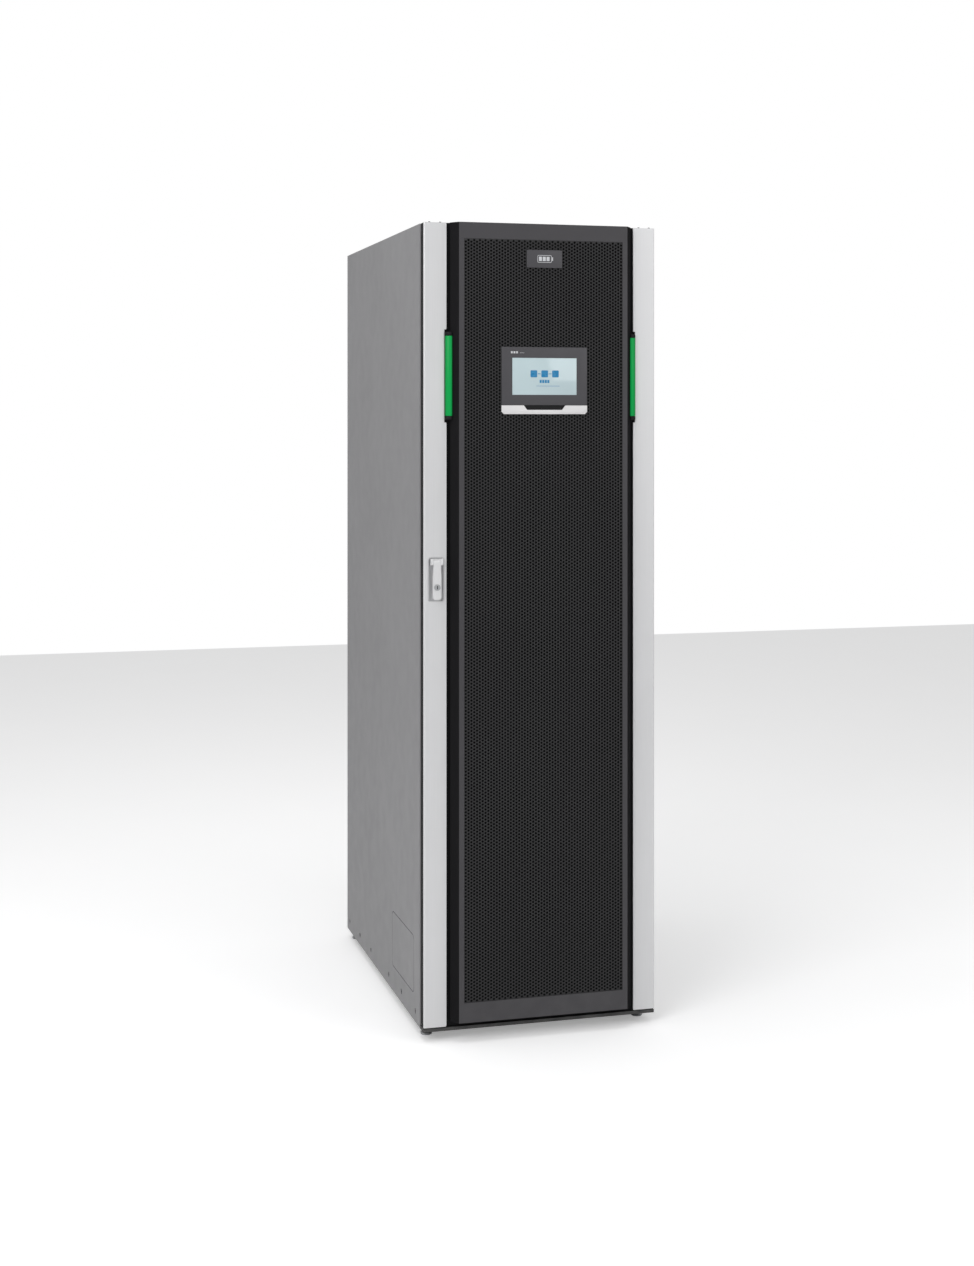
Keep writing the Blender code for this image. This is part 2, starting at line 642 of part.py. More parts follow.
def make_centre_panel():
    """The door's raised middle: flat face, sloped sides, straight legs down to the pan."""
    base = TRIM_Y - CENTRE_PROUD + CENTRE_SLOPE
    back = PAN_Y - GAP
    outer = [
        (-CENTRE_HALF_FRONT, CENTRE_Y),
        (CENTRE_HALF_FRONT, CENTRE_Y),
        (CENTRE_HALF_BASE, base),
        (CENTRE_HALF_BASE, back),
        (-CENTRE_HALF_BASE, back),
        (-CENTRE_HALF_BASE, base),
    ]
    panel = add("centre_panel", prism_mesh(outer, CENTRE_BOTTOM, ROOF_Z), "door_paint")
    sheet = SIDE_SHEET
    inner = [
        (-CENTRE_HALF_FRONT + sheet / 2, CENTRE_Y + sheet),
        (CENTRE_HALF_FRONT - sheet / 2, CENTRE_Y + sheet),
        (CENTRE_HALF_BASE - sheet, base + sheet / 2),
        (CENTRE_HALF_BASE - sheet, back + 0.01),
        (-CENTRE_HALF_BASE + sheet, back + 0.01),
        (-CENTRE_HALF_BASE + sheet, base + sheet / 2),
    ]
    cut(panel, prism_mesh(inner, CENTRE_BOTTOM + sheet, ROOF_Z - sheet), "hollow")
    window = box_mesh(
        (-WINDOW_HALF, CENTRE_Y - 0.01, WINDOW_BOTTOM), (WINDOW_HALF, CENTRE_Y + 0.01, WINDOW_TOP)
    )
    cut(panel, window, "window")
    sheet_piece = add(
        "perforated_sheet",
        box_mesh(
            (-WINDOW_HALF + GAP, CENTRE_Y, WINDOW_BOTTOM + GAP),
            (WINDOW_HALF - GAP, CENTRE_Y + THIN_SHEET, WINDOW_TOP - GAP),
        ),
        "door_paint",
    )
    inset = DISPLAY_EDGE
    hole = box_mesh(
        (-DISPLAY_HALF_WIDTH + inset, CENTRE_Y - 0.01, DISPLAY_BOTTOM + inset),
        (DISPLAY_HALF_WIDTH - inset, CENTRE_Y + 0.01, DISPLAY_BOTTOM + DISPLAY_HEIGHT - inset),
    )
    cut(sheet_piece, hole, "display_hole")


def make_trims():
    """Flat aluminium strips with a rounded outer edge, notched beside the light bars."""
    for name, side in (("left", -1), ("right", 1)):
        arc = []
        for step in range(5):
            angle = radians(90 * step / 4)
            arc.append(
                (
                    TRIM_OUTER - TRIM_CORNER + TRIM_CORNER * sin(angle),
                    TRIM_Y + TRIM_CORNER - TRIM_CORNER * cos(angle),
                )
            )
        outline = [(TRIM_INNER, TRIM_Y)] + arc + [
            (TRIM_OUTER, TRIM_Y + TRIM_THICKNESS),
            (TRIM_INNER, TRIM_Y + TRIM_THICKNESS),
        ]
        bm = prism_mesh(mirrored(outline, side), DOOR_BOTTOM, ROOF_Z)
        trim = add(f"{name}_trim", bm, "satin_aluminium", smooth=True)
        reach = sorted((side * (TRIM_INNER - 0.01), side * (TRIM_INNER + LIGHT_NOTCH_SIDE)))
        notch = box_mesh(
            (reach[0], TRIM_Y - 0.01, LIGHT_BOTTOM - LIGHT_NOTCH_END),
            (reach[1], TRIM_Y + 0.02, LIGHT_TOP + LIGHT_NOTCH_END),
        )
        cut(trim, notch, "light_notch")
        if side < 0:
            cut(trim, handle_hole(TRIM_Y - 0.01, TRIM_Y + 0.02, DISH_CLEARANCE), "dish_hole")


def make_light_bars():
    """Half-round lenses that fill the groove between the sloped side and the trim."""
    base = CENTRE_Y + CENTRE_SLOPE
    inner = CENTRE_HALF_BASE + LIGHT_CLEARANCE
    back = PAN_Y - GAP
    slope = (CENTRE_HALF_BASE - CENTRE_HALF_FRONT) / CENTRE_SLOPE
    rise = 0.006
    shoulder = (inner - rise * slope + LIGHT_CLEARANCE, base - rise)
    end = (LIGHT_OUTER, TRIM_Y - 0.003)
    points = [(inner, back), (LIGHT_OUTER, back), end]
    centre = ((shoulder[0] + end[0]) / 2, (shoulder[1] + end[1]) / 2)
    across = (Vector(end) - Vector(shoulder)) / 2
    bulge = Vector((across.y, -across.x)).normalized() * (LIGHT_PROUD - 0.0065)
    for step in range(1, 8):
        angle = pi * step / 8
        points.append(tuple(Vector(centre) + across * cos(angle) + bulge * sin(angle)))
    points.append(shoulder)
    points.append((inner, base))
    for name, side in (("left", -1), ("right", 1)):
        bm = prism_mesh(mirrored(points, side), LIGHT_BOTTOM, LIGHT_TOP)
        add(f"{name}_light_bar", bm, "green_lens", smooth=True)


def make_display():
    """Bezel and rear body, the screen in its pocket, and the pale strip with its notch below."""
    top = DISPLAY_BOTTOM + DISPLAY_HEIGHT
    strip_top = DISPLAY_BOTTOM + DISPLAY_STRIP
    back = CENTRE_Y - GAP
    bezel = add(
        "display_housing",
        box_mesh((-DISPLAY_HALF_WIDTH, FRONT_Y, strip_top + GAP), (DISPLAY_HALF_WIDTH, back, top)),
        "display_plastic",
    )
    inset = DISPLAY_EDGE + GAP
    body_bottom = max(strip_top + GAP, DISPLAY_BOTTOM + inset)
    body = box_mesh(
        (-DISPLAY_HALF_WIDTH + inset, back - 0.001, body_bottom),
        (DISPLAY_HALF_WIDTH - inset, PAN_Y - 0.004, top - inset),
    )
    unite(bezel, body, "rear_body")
    screen_top = SCREEN_BOTTOM + SCREEN_HEIGHT
    cut(
        bezel,
        box_mesh(
            (-SCREEN_HALF_WIDTH, FRONT_Y - 0.01, SCREEN_BOTTOM), (SCREEN_HALF_WIDTH, FRONT_Y + 0.004, screen_top)
        ),
        "pocket",
    )
    add(
        "display_screen",
        box_mesh(
            (-SCREEN_HALF_WIDTH + GAP, FRONT_Y + 0.0006, SCREEN_BOTTOM + GAP),
            (SCREEN_HALF_WIDTH - GAP, FRONT_Y + 0.004 - GAP, screen_top - GAP),
        ),
        "screen_glass",
    )
    chamfer = 0.0055
    outline = [
        (-DISPLAY_HALF_WIDTH + chamfer, DISPLAY_BOTTOM),
        (DISPLAY_HALF_WIDTH - chamfer, DISPLAY_BOTTOM),
        (DISPLAY_HALF_WIDTH, DISPLAY_BOTTOM + chamfer),
        (DISPLAY_HALF_WIDTH, strip_top),
        (NOTCH_HALF_TOP, strip_top),
        (NOTCH_HALF_BOTTOM, strip_top - NOTCH_DEPTH),
        (-NOTCH_HALF_BOTTOM, strip_top - NOTCH_DEPTH),
        (-NOTCH_HALF_TOP, strip_top),
        (-DISPLAY_HALF_WIDTH, strip_top),
        (-DISPLAY_HALF_WIDTH, DISPLAY_BOTTOM + chamfer),
    ]
    add("display_trim", prism_mesh(outline, FRONT_Y, back, "Y"), "pale_plastic")
    badge_top = ROOF_Z - BADGE_BELOW_TOP
    low = (-BADGE_HALF_WIDTH, badge_top - BADGE_HEIGHT)
    high = (BADGE_HALF_WIDTH, badge_top)
    plate = prism_mesh(rounded_outline(low, high, 0.002, 2), back - 0.002, back, "Y")
    add("badge_plate", plate, "display_plastic")


# ---------------------------------------------------------------- handle, lock and latch rods


def make_handle():
    """Dish in the trim, a spindle with a fork and a pinion, and the lever hinged in the fork."""
    dish_back = TRIM_Y + HANDLE_DISH_DEPTH + DISH_WALL
    dish = add("handle_dish", handle_hole(TRIM_Y, dish_back, 0.0), "black_plastic")
    cut(dish, handle_hole(TRIM_Y - 0.01, dish_back - DISH_WALL, -DISH_WALL), "hollow")
    pivot_y = TRIM_Y - LEVER_PIVOT_PROUD
    axis = (HANDLE_X, LEVER_PIVOT_Z)
    cut(
        dish,
        round_mesh(axis, SPINDLE_RADIUS + 2 * RUNNING, TRIM_Y, dish_back + 0.01, "Y", 32),
        "spindle_hole",
    )

    case_front = dish_back + GAP
    case_back = case_front + LOCK_CASE_DEPTH
    case = add(
        "lock_case",
        box_mesh(
            (HANDLE_X - LOCK_CASE_HALF, case_front, LEVER_PIVOT_Z - LOCK_CASE_HEIGHT / 2),
            (HANDLE_X + LOCK_CASE_HALF, case_back, LEVER_PIVOT_Z + LOCK_CASE_HEIGHT / 2),
        ),
        "zinc_steel",
    )
    inner = LOCK_CASE_HALF - SIDE_SHEET
    cut(
        case,
        box_mesh(
            (HANDLE_X - inner, case_front + SIDE_SHEET, LEVER_PIVOT_Z - LOCK_CASE_HEIGHT),
            (HANDLE_X + inner, case_back - SIDE_SHEET, LEVER_PIVOT_Z + LOCK_CASE_HEIGHT),
        ),
        "hollow",
    )
    cut(
        case,
        round_mesh(axis, SPINDLE_RADIUS + 2 * RUNNING, case_front - 0.01, case_front + 0.005, "Y", 32),
        "spindle_hole",
    )

    pivot = (HANDLE_X, pivot_y, LEVER_PIVOT_Z)
    pinion_back = ROD_Y + ROD_THICKNESS / 2 + 0.001
    spindle = add(
        "handle_spindle",
        round_mesh(axis, SPINDLE_RADIUS, TRIM_Y - 0.0005, pinion_back, "Y", 24),
        "zinc_steel",
        pivot=pivot,
    )
    pinion = round_mesh(axis, PINION_RADIUS, ROD_Y - ROD_THICKNESS / 2 - 0.001, pinion_back, "Y", 32)
    unite(spindle, pinion, "pinion")
    fork_front = pivot_y - LEVER_HEAD_RADIUS
    fork = box_mesh(
        (HANDLE_X - FORK_WIDTH / 2, fork_front, LEVER_PIVOT_Z - 0.0055),
        (HANDLE_X + FORK_WIDTH / 2, TRIM_Y - GAP, LEVER_PIVOT_Z + 0.0085),
    )
    unite(spindle, fork, "fork")
    slot = box_mesh(
        (HANDLE_X - FORK_SLOT / 2, fork_front - 0.01, LEVER_PIVOT_Z - 0.01),
        (HANDLE_X + FORK_SLOT / 2, TRIM_Y - 0.0010, LEVER_PIVOT_Z + 0.02),
    )
    cut(spindle, slot, "slot")
    pin = round_mesh(
        (pivot_y, LEVER_PIVOT_Z),
        FORK_PIN_RADIUS,
        HANDLE_X - FORK_WIDTH / 2 + 0.001,
        HANDLE_X + FORK_WIDTH / 2 - 0.001,
        "X",
        16,
    )
    unite(spindle, pin, "pin")

    head = round_mesh(
        (pivot_y, LEVER_PIVOT_Z),
        LEVER_HEAD_RADIUS,
        HANDLE_X - LEVER_TONGUE / 2,
        HANDLE_X + LEVER_TONGUE / 2,
        "X",
        24,
    )
    lever = add("handle_lever", head, "lever_metal", pivot=pivot)
    half_grip = LEVER_WIDTH / 2
    neck = LEVER_PIVOT_Z - 0.012
    outline = [
        (HANDLE_X - LEVER_TONGUE / 2, LEVER_PIVOT_Z),
        (HANDLE_X - LEVER_TONGUE / 2, neck),
        (HANDLE_X - half_grip, LOCK_Z + 0.020),
        (HANDLE_X - half_grip, LEVER_BOTTOM + 0.004),
        (HANDLE_X - half_grip + 0.004, LEVER_BOTTOM),
        (HANDLE_X + half_grip - 0.004, LEVER_BOTTOM),
        (HANDLE_X + half_grip, LEVER_BOTTOM + 0.004),
        (HANDLE_X + half_grip, LOCK_Z + 0.020),
        (HANDLE_X + LEVER_TONGUE / 2, neck),
        (HANDLE_X + LEVER_TONGUE / 2, LEVER_PIVOT_Z),
    ]
    lever_back = pivot_y + LEVER_THICKNESS / 2
    unite(lever, prism_mesh(outline, lever_back - LEVER_THICKNESS, lever_back, "Y"), "grip")
    bore = round_mesh(
        (pivot_y, LEVER_PIVOT_Z), FORK_PIN_RADIUS + 2 * RUNNING, HANDLE_X - 0.02, HANDLE_X + 0.02, "X", 24
    )
    cut(lever, bore, "bore")
    lock_axis = (HANDLE_X, LOCK_Z)
    lock_front = lever_back - LEVER_THICKNESS
    socket = round_mesh(lock_axis, LOCK_RADIUS + 2 * RUNNING, lock_front - 0.01, lever_back + 0.01, "Y", 32)
    cut(lever, socket, "lock_socket")
    cylinder = add(
        "lock_cylinder",
        round_mesh(lock_axis, LOCK_RADIUS, lock_front - 0.0015, lever_back - 0.0005, "Y", 32),
        "black_plastic",
        pivot=(HANDLE_X, lock_front, LOCK_Z),
        smooth=True,
    )
    keyway = box_mesh(
        (HANDLE_X - 0.0007, lock_front - 0.01, LOCK_Z - 0.004),
        (HANDLE_X + 0.0007, lock_front + 0.003, LOCK_Z + 0.004),
    )
    cut(cylinder, keyway, "keyway")


def make_latch_rods():
    """Flat rods that run from either side of the pinion to the keepers."""
    for name, side, tip in (
        ("upper", 1, UPPER_KEEPER_Z + KEEPER_SHEET + ROD_ENTRY),
        ("lower", -1, LOWER_KEEPER_Z - ROD_ENTRY),
    ):
        x = HANDLE_X + side * ROD_OFFSET
        ends = sorted((LEVER_PIVOT_Z - side * (ROD_TRAVEL + 0.004), tip))
        rod = box_mesh(
            (x - ROD_WIDTH / 2, ROD_Y - ROD_THICKNESS / 2, ends[0]),
            (x + ROD_WIDTH / 2, ROD_Y + ROD_THICKNESS / 2, ends[1]),
        )
        add(f"{name}_latch_rod", rod, "zinc_steel", pivot=(x, ROD_Y, LEVER_PIVOT_Z))


# ---------------------------------------------------------------- inside the cabinet
def make_batteries():
    """A welded rack of shelves between two cheeks, and one sealed battery tray on each shelf."""
    half = BAY_HALF - RACK_SHEET
    outer = BAY_HALF
    back = RACK_FRONT + BATTERY_DEPTH
    rack = add(
        "battery_rack",
        box_mesh((-outer, RACK_FRONT, RACK_BOTTOM), (outer, back, RACK_TOP)),
        "zinc_steel",
    )
    body = box_mesh(
        (-BATTERY_HALF, RACK_FRONT + 0.004, 0.0), (BATTERY_HALF, back - 0.002, BATTERY_HEIGHT)
    )
    for index in range(BATTERY_COUNT):
        shelf = RACK_BOTTOM + index * RACK_PITCH + RACK_SHEET
        bay = box_mesh((-half, RACK_FRONT - 0.01, shelf), (half, back + 0.01, shelf + RACK_PITCH - RACK_SHEET))
        cut(rack, bay, f"bay_{index + 1}")
    mesh = None
    for index in range(BATTERY_COUNT):
        place = (0.0, 0.0, RACK_BOTTOM + index * RACK_PITCH + RACK_SHEET + GAP)
        name = f"battery_module_{index + 1}"
        if mesh is None:
            module = add(name, body, "battery_case")
            mesh = module.data
        else:
            module = bpy.data.objects.new(name, mesh)
            bpy.context.scene.collection.objects.link(module)
        module.location = place
        face = box_mesh(
            (-BATTERY_HALF, RACK_FRONT - 0.002, 0.0),
            (BATTERY_HALF, RACK_FRONT + 0.005, RACK_PITCH - RACK_SHEET - 2 * GAP - 0.004),
        )
        bmesh.ops.translate(face, vec=place, verts=face.verts)
        unite(module, face, "face_plate")
        for side in (-1, 1):
            low, high = sorted((side * GRIP_INNER, side * GRIP_OUTER))
            grip = box_mesh((low, RACK_FRONT - 0.030, 0.070), (high, RACK_FRONT - 0.001, 0.086))
            bmesh.ops.translate(grip, vec=place, verts=grip.verts)
            unite(module, grip, f"grip_{side}")
            hand = box_mesh(
                (low + 0.008, RACK_FRONT - 0.024, 0.060), (high - 0.008, RACK_FRONT - 0.002, 0.096)
            )
            bmesh.ops.translate(hand, vec=place, verts=hand.verts)
            cut(module, hand, f"hand_{side}")


def make_power_module():
    """A box with two fan tunnels in its face; each fan turns on a post in its tunnel."""
    low = (-BAY_HALF, RACK_FRONT, POWER_BOTTOM)
    high = (BAY_HALF, RACK_FRONT + ELECTRONICS_DEPTH, POWER_BOTTOM + POWER_HEIGHT)
    module = add("power_module", box_mesh(low, high), "dark_steel")
    middle = POWER_BOTTOM + POWER_HEIGHT / 2
    for name, side in (("left", -1), ("right", 1)):
        axis = (side * FAN_SPACING, middle)
        tunnel = round_mesh(axis, FAN_RADIUS + 0.003, RACK_FRONT - 0.01, RACK_FRONT + FAN_DEPTH + 0.006, "Y", 32)
        cut(module, tunnel, f"tunnel_{name}")
        hub_front = RACK_FRONT + 0.004
        hub_back = hub_front + FAN_DEPTH - 0.004
        rotor = add(
            f"{name}_fan_rotor",
            round_mesh(axis, 0.021, hub_front, hub_back, "Y", 20),
            "black_plastic",
            pivot=(axis[0], (hub_front + hub_back) / 2, axis[1]),
        )
        for index in range(5):
            blade = box_mesh((0.018, -0.0012, -0.011), (FAN_RADIUS, 0.0012, 0.011))
            bmesh.ops.rotate(
                blade, cent=(0, 0, 0), matrix=Matrix.Rotation(radians(38), 3, "X"), verts=blade.verts
            )
            bmesh.ops.rotate(
                blade, cent=(0, 0, 0), matrix=Matrix.Rotation(2 * pi * index / 5, 3, "Y"), verts=blade.verts
            )
            bmesh.ops.translate(
                blade, vec=(axis[0], (hub_front + hub_back) / 2, axis[1]), verts=blade.verts
            )
            unite(rotor, blade, f"blade_{index + 1}")
    low = (-BAY_HALF, RACK_FRONT, STATIC_BOTTOM)
    high = (BAY_HALF, RACK_FRONT + ELECTRONICS_DEPTH, STATIC_BOTTOM + STATIC_HEIGHT)
    static = add("static_switch_module", box_mesh(low, high), "dark_steel")
    round_edges(static, 0.002)


def make_breaker_panel():
    """The switch panel with the battery breaker, the bypass switch and what a hand moves on them."""
    panel_back = RACK_FRONT + FRAME_SHEET
    bottom = BREAKER_PANEL_BOTTOM
    panel = add(
        "breaker_panel",
        box_mesh(
            (-BAY_HALF, RACK_FRONT, bottom),
            (BAY_HALF, panel_back, bottom + BREAKER_PANEL_HEIGHT),
        ),
        "side_paint",
    )
    for x, half, tall in ((BREAKER_X, BREAKER_HALF, BREAKER_TALL), (BYPASS_X, BREAKER_HALF, BREAKER_TALL)):
        hole = box_mesh(
            (x - half - GAP, RACK_FRONT - 0.01, BREAKER_Z - tall / 2 - GAP),
            (x + half + GAP, RACK_FRONT + 0.01, BREAKER_Z + tall / 2 + GAP),
        )
        cut(panel, hole, f"hole_{'left' if x < 0 else 'right'}")
    front = RACK_FRONT - BREAKER_PROUD
    back = RACK_FRONT + 0.080
    breaker = add(
        "battery_breaker",
        box_mesh(
            (BREAKER_X - BREAKER_HALF, front, BREAKER_Z - BREAKER_TALL / 2),
            (BREAKER_X + BREAKER_HALF, back, BREAKER_Z + BREAKER_TALL / 2),
        ),
        "black_plastic",
    )
    pocket = box_mesh(
        (BREAKER_X - TOGGLE_HALF - 0.001, front - 0.01, BREAKER_Z - 0.024),
        (BREAKER_X + TOGGLE_HALF + 0.001, front + 0.022, BREAKER_Z + 0.024),
    )
    cut(breaker, pocket, "toggle_pocket")
    toggle_y = front + 0.011
    hub = round_mesh(
        (toggle_y, BREAKER_Z), TOGGLE_HUB, BREAKER_X - TOGGLE_HALF, BREAKER_X + TOGGLE_HALF, "X", 20
    )
    lever = add("battery_breaker_lever", hub, "pale_plastic", pivot=(BREAKER_X, toggle_y, BREAKER_Z))
    stick = box_mesh((-TOGGLE_HALF + 0.002, -0.032, -0.005), (TOGGLE_HALF - 0.002, 0.0, 0.005))
    bmesh.ops.rotate(
        stick, cent=(0, 0, 0), matrix=Matrix.Rotation(radians(-TOGGLE_TILT), 3, "X"), verts=stick.verts
    )
    bmesh.ops.translate(stick, vec=(BREAKER_X, toggle_y, BREAKER_Z), verts=stick.verts)
    unite(lever, stick, "stick")

    add(
        "bypass_switch",
        box_mesh(
            (BYPASS_X - BREAKER_HALF, front + 0.012, BREAKER_Z - BREAKER_TALL / 2),
            (BYPASS_X + BREAKER_HALF, back, BREAKER_Z + BREAKER_TALL / 2),
        ),
        "black_plastic",
    )
    face = front + 0.012 - GAP
    knob = add(
        "bypass_switch_knob",
        round_mesh((BYPASS_X, BREAKER_Z), KNOB_RADIUS, face - 0.006, face, "Y", 32),
        "black_plastic",
        pivot=(BYPASS_X, face, BREAKER_Z),
    )
    bar = box_mesh(
        (BYPASS_X - 0.006, face - 0.024, BREAKER_Z - KNOB_RADIUS + 0.002),
        (BYPASS_X + 0.006, face - 0.003, BREAKER_Z + KNOB_RADIUS - 0.002),
    )
    unite(knob, bar, "grip")


def make_battery_lead():
    """The lead from the top battery module's face up to the underside of the battery breaker."""
    start = Vector((-0.030, RACK_FRONT - 0.002 - GAP, RACK_BOTTOM + (BATTERY_COUNT - 0.35) * RACK_PITCH))
    end = Vector((BREAKER_X - 0.020, RACK_FRONT - 0.017, BREAKER_Z - BREAKER_TALL / 2 - GAP))
    front = RACK_FRONT - 0.028
    control = [
        start,
        start + Vector((0, -0.008, 0.0)),
        start + Vector((0, -0.016, 0.0)),
        Vector((start.x - 0.006, front, start.z + 0.030)),
        Vector((start.x - 0.020, front, start.z + 0.150)),
        Vector((end.x + 0.004, front, end.z - 0.200)),
        Vector((end.x, front + 0.006, end.z - 0.070)),
        end - Vector((0, 0, 0.040)),
        end - Vector((0, 0, 0.020)),
        end,
    ]
    points = []
    padded = [control[0]] + control + [control[-1]]
    for index in range(1, len(padded) - 2):
        p0, p1, p2, p3 = padded[index - 1 : index + 3]
        steps = 4
        for step in range(steps):
            t = step / steps
            points.append(
                0.5
                * (
                    2 * p1
                    + (p2 - p0) * t
                    + (2 * p0 - 5 * p1 + 4 * p2 - p3) * t * t
                    + (3 * p1 - p0 - 3 * p2 + p3) * t * t * t
                )
            )
    points.append(control[-1])
    curve = bpy.data.curves.new("battery_lead", "CURVE")
    curve.dimensions = "3D"
    curve.bevel_depth = LEAD_RADIUS
    curve.bevel_resolution = 2
    curve.use_fill_caps = True
    spline = curve.splines.new("POLY")
    spline.points.add(len(points) - 1)
    for target, point in zip(spline.points, points):
        target.co = (*point, 1.0)
    curve.materials.append(material("orange_lead"))
    lead = bpy.data.objects.new("battery_lead", curve)
    bpy.context.scene.collection.objects.link(lead)


# ---------------------------------------------------------------- how the door's pieces hang together
DOOR_PIECES = (
    "centre_panel",
    "perforated_sheet",
    "left_trim",
    "right_trim",
    "left_light_bar",
    "right_light_bar",
    "badge_plate",
    "display_housing",
    "display_screen",
    "display_trim",
    "upper_hinge_leaf",
    "lower_hinge_leaf",
    "handle_dish",
    "lock_case",
    "upper_latch_rod",
    "lower_latch_rod",
    "handle_spindle",
)


def attach(child, parent):
    """Parents one object to another and leaves it where it is."""
    child, parent = bpy.data.objects[child], bpy.data.objects[parent]
    child.parent = parent
    child.matrix_parent_inverse = parent.matrix_world.inverted()


def hang_pieces():
    bpy.context.view_layer.update()
    for piece in DOOR_PIECES:
        attach(piece, "door_frame")
    attach("handle_lever", "handle_spindle")
    bpy.context.view_layer.update()
    attach("lock_cylinder", "handle_lever")


def main():
    clear_scene()
    make_frame()
    make_feet()
    make_side_panels()
    make_covers()
    make_hinges()
    make_keepers()
    make_door_pan()
    make_centre_panel()
    make_trims()
    make_light_bars()
    make_display()
    make_handle()
    make_latch_rods()
    make_batteries()
    make_power_module()
    make_breaker_panel()
    make_battery_lead()
    hang_pieces()


main()
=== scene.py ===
"""Looks of a floor-standing battery-backed power cabinet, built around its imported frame."""

import logging
from dataclasses import dataclass
from enum import Enum
from math import cos, pi, radians, sin

import bmesh
import bpy
from mathutils import Matrix, Vector


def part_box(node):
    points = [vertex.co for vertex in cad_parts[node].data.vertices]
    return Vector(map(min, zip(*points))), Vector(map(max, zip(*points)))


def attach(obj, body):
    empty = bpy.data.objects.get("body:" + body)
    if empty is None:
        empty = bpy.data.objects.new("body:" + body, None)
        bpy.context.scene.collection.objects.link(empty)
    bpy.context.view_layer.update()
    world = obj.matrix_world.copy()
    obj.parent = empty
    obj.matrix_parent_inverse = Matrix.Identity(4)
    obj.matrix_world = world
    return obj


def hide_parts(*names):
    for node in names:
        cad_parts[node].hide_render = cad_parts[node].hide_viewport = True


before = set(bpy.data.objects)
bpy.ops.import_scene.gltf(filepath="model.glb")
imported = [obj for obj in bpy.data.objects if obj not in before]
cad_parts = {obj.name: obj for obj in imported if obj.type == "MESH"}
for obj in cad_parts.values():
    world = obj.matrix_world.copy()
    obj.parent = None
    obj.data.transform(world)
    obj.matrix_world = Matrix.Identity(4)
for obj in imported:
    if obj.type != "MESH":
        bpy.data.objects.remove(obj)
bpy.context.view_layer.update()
LOG = logging.getLogger("power_cabinet")

Colour = tuple[float, float, float]
Point = tuple[float, float, float]


class Axis(Enum):
    """The direction that a turned piece or a prism runs along."""

    X = Vector((1, 0, 0))
    Y = Vector((0, 1, 0))
    Z = Vector((0, 0, 1))


class Body(Enum):
    """The bodies that pieces ride on."""

    CABINET = "root"
    DOOR = "door"
    SPINDLE = "spindle"
    LEVER = "lever"
    CYLINDER = "cylinder"
    LEFT_FAN = "left_fan"
    RIGHT_FAN = "right_fan"
    BREAKER_LEVER = "breaker_lever"
    BYPASS_KNOB = "bypass_knob"
    FRONT_LEFT_FOOT = "front_left_foot_body"
    FRONT_RIGHT_FOOT = "front_right_foot_body"
    REAR_LEFT_FOOT = "rear_left_foot_body"
    REAR_RIGHT_FOOT = "rear_right_foot_body"


# ---------------------------------------------------------------- shader node groups
class Wiring:
    """Small helper that adds nodes to a tree and links them."""

    def __init__(self, tree: bpy.types.NodeTree) -> None:
        """Keeps the tree that nodes are added to."""
        self.tree = tree

    def node(self, kind: str, **values: object) -> bpy.types.Node:
        """Adds a node.

        Args:
            kind: The node's type name.
            values: Attributes to set on it.

        Returns:
            The new node.
        """
        made = self.tree.nodes.new(kind)
        for name, value in values.items():
            setattr(made, name, value)
        return made

    def link(self, start: bpy.types.NodeSocket, end: bpy.types.NodeSocket) -> None:
        """Links two sockets."""
        self.tree.links.new(start, end)

    def noise(self, vector: bpy.types.NodeSocket, scale: float, detail: float = 3.0) -> bpy.types.NodeSocket:
        """Adds a noise texture.

        Args:
            vector: The coordinates it reads.
            scale: Cycles per metre.
            detail: Octaves.

        Returns:
            The noise's value socket.
        """
        made = self.node("ShaderNodeTexNoise")
        made.inputs["Scale"].default_value = scale
        made.inputs["Detail"].default_value = detail
        self.link(vector, made.inputs["Vector"])
        return made.outputs["Fac"]

    def span(
        self, value: bpy.types.NodeSocket, low: float, high: float, to_low: float, to_high: float
    ) -> bpy.types.NodeSocket:
        """Maps a value from one range to another.

        Args:
            value: The socket to map.
            low: Start of the range that it has.
            high: End of the range that it has.
            to_low: What low becomes.
            to_high: What high becomes.

        Returns:
            The mapped value socket.
        """
        made = self.node("ShaderNodeMapRange")
        for name, number in zip(("From Min", "From Max", "To Min", "To Max"), (low, high, to_low, to_high)):
            made.inputs[name].default_value = number
        self.link(value, made.inputs["Value"])
        return made.outputs["Result"]

    def maths(self, operation: str, *values: object) -> bpy.types.NodeSocket:
        """Adds a maths node.

        Args:
            operation: The operation's name.
            values: Sockets or numbers, in order.

        Returns:
            Its value socket.
        """
        made = self.node("ShaderNodeMath", operation=operation)
        for slot, value in zip(made.inputs, values):
            if isinstance(value, (int, float)):
                slot.default_value = value
            else:
                self.link(value, slot)
        return made.outputs["Value"]

    def shade(self, colour: bpy.types.NodeSocket, factor: bpy.types.NodeSocket) -> bpy.types.NodeSocket:
        """Multiplies a colour by a value.

        Args:
            colour: The colour socket.
            factor: The value socket.

        Returns:
            The shaded colour's socket.
        """
        made = self.node("ShaderNodeVectorMath", operation="SCALE")
        self.link(colour, made.inputs[0])
        self.link(factor, made.inputs["Scale"])
        return made.outputs["Vector"]


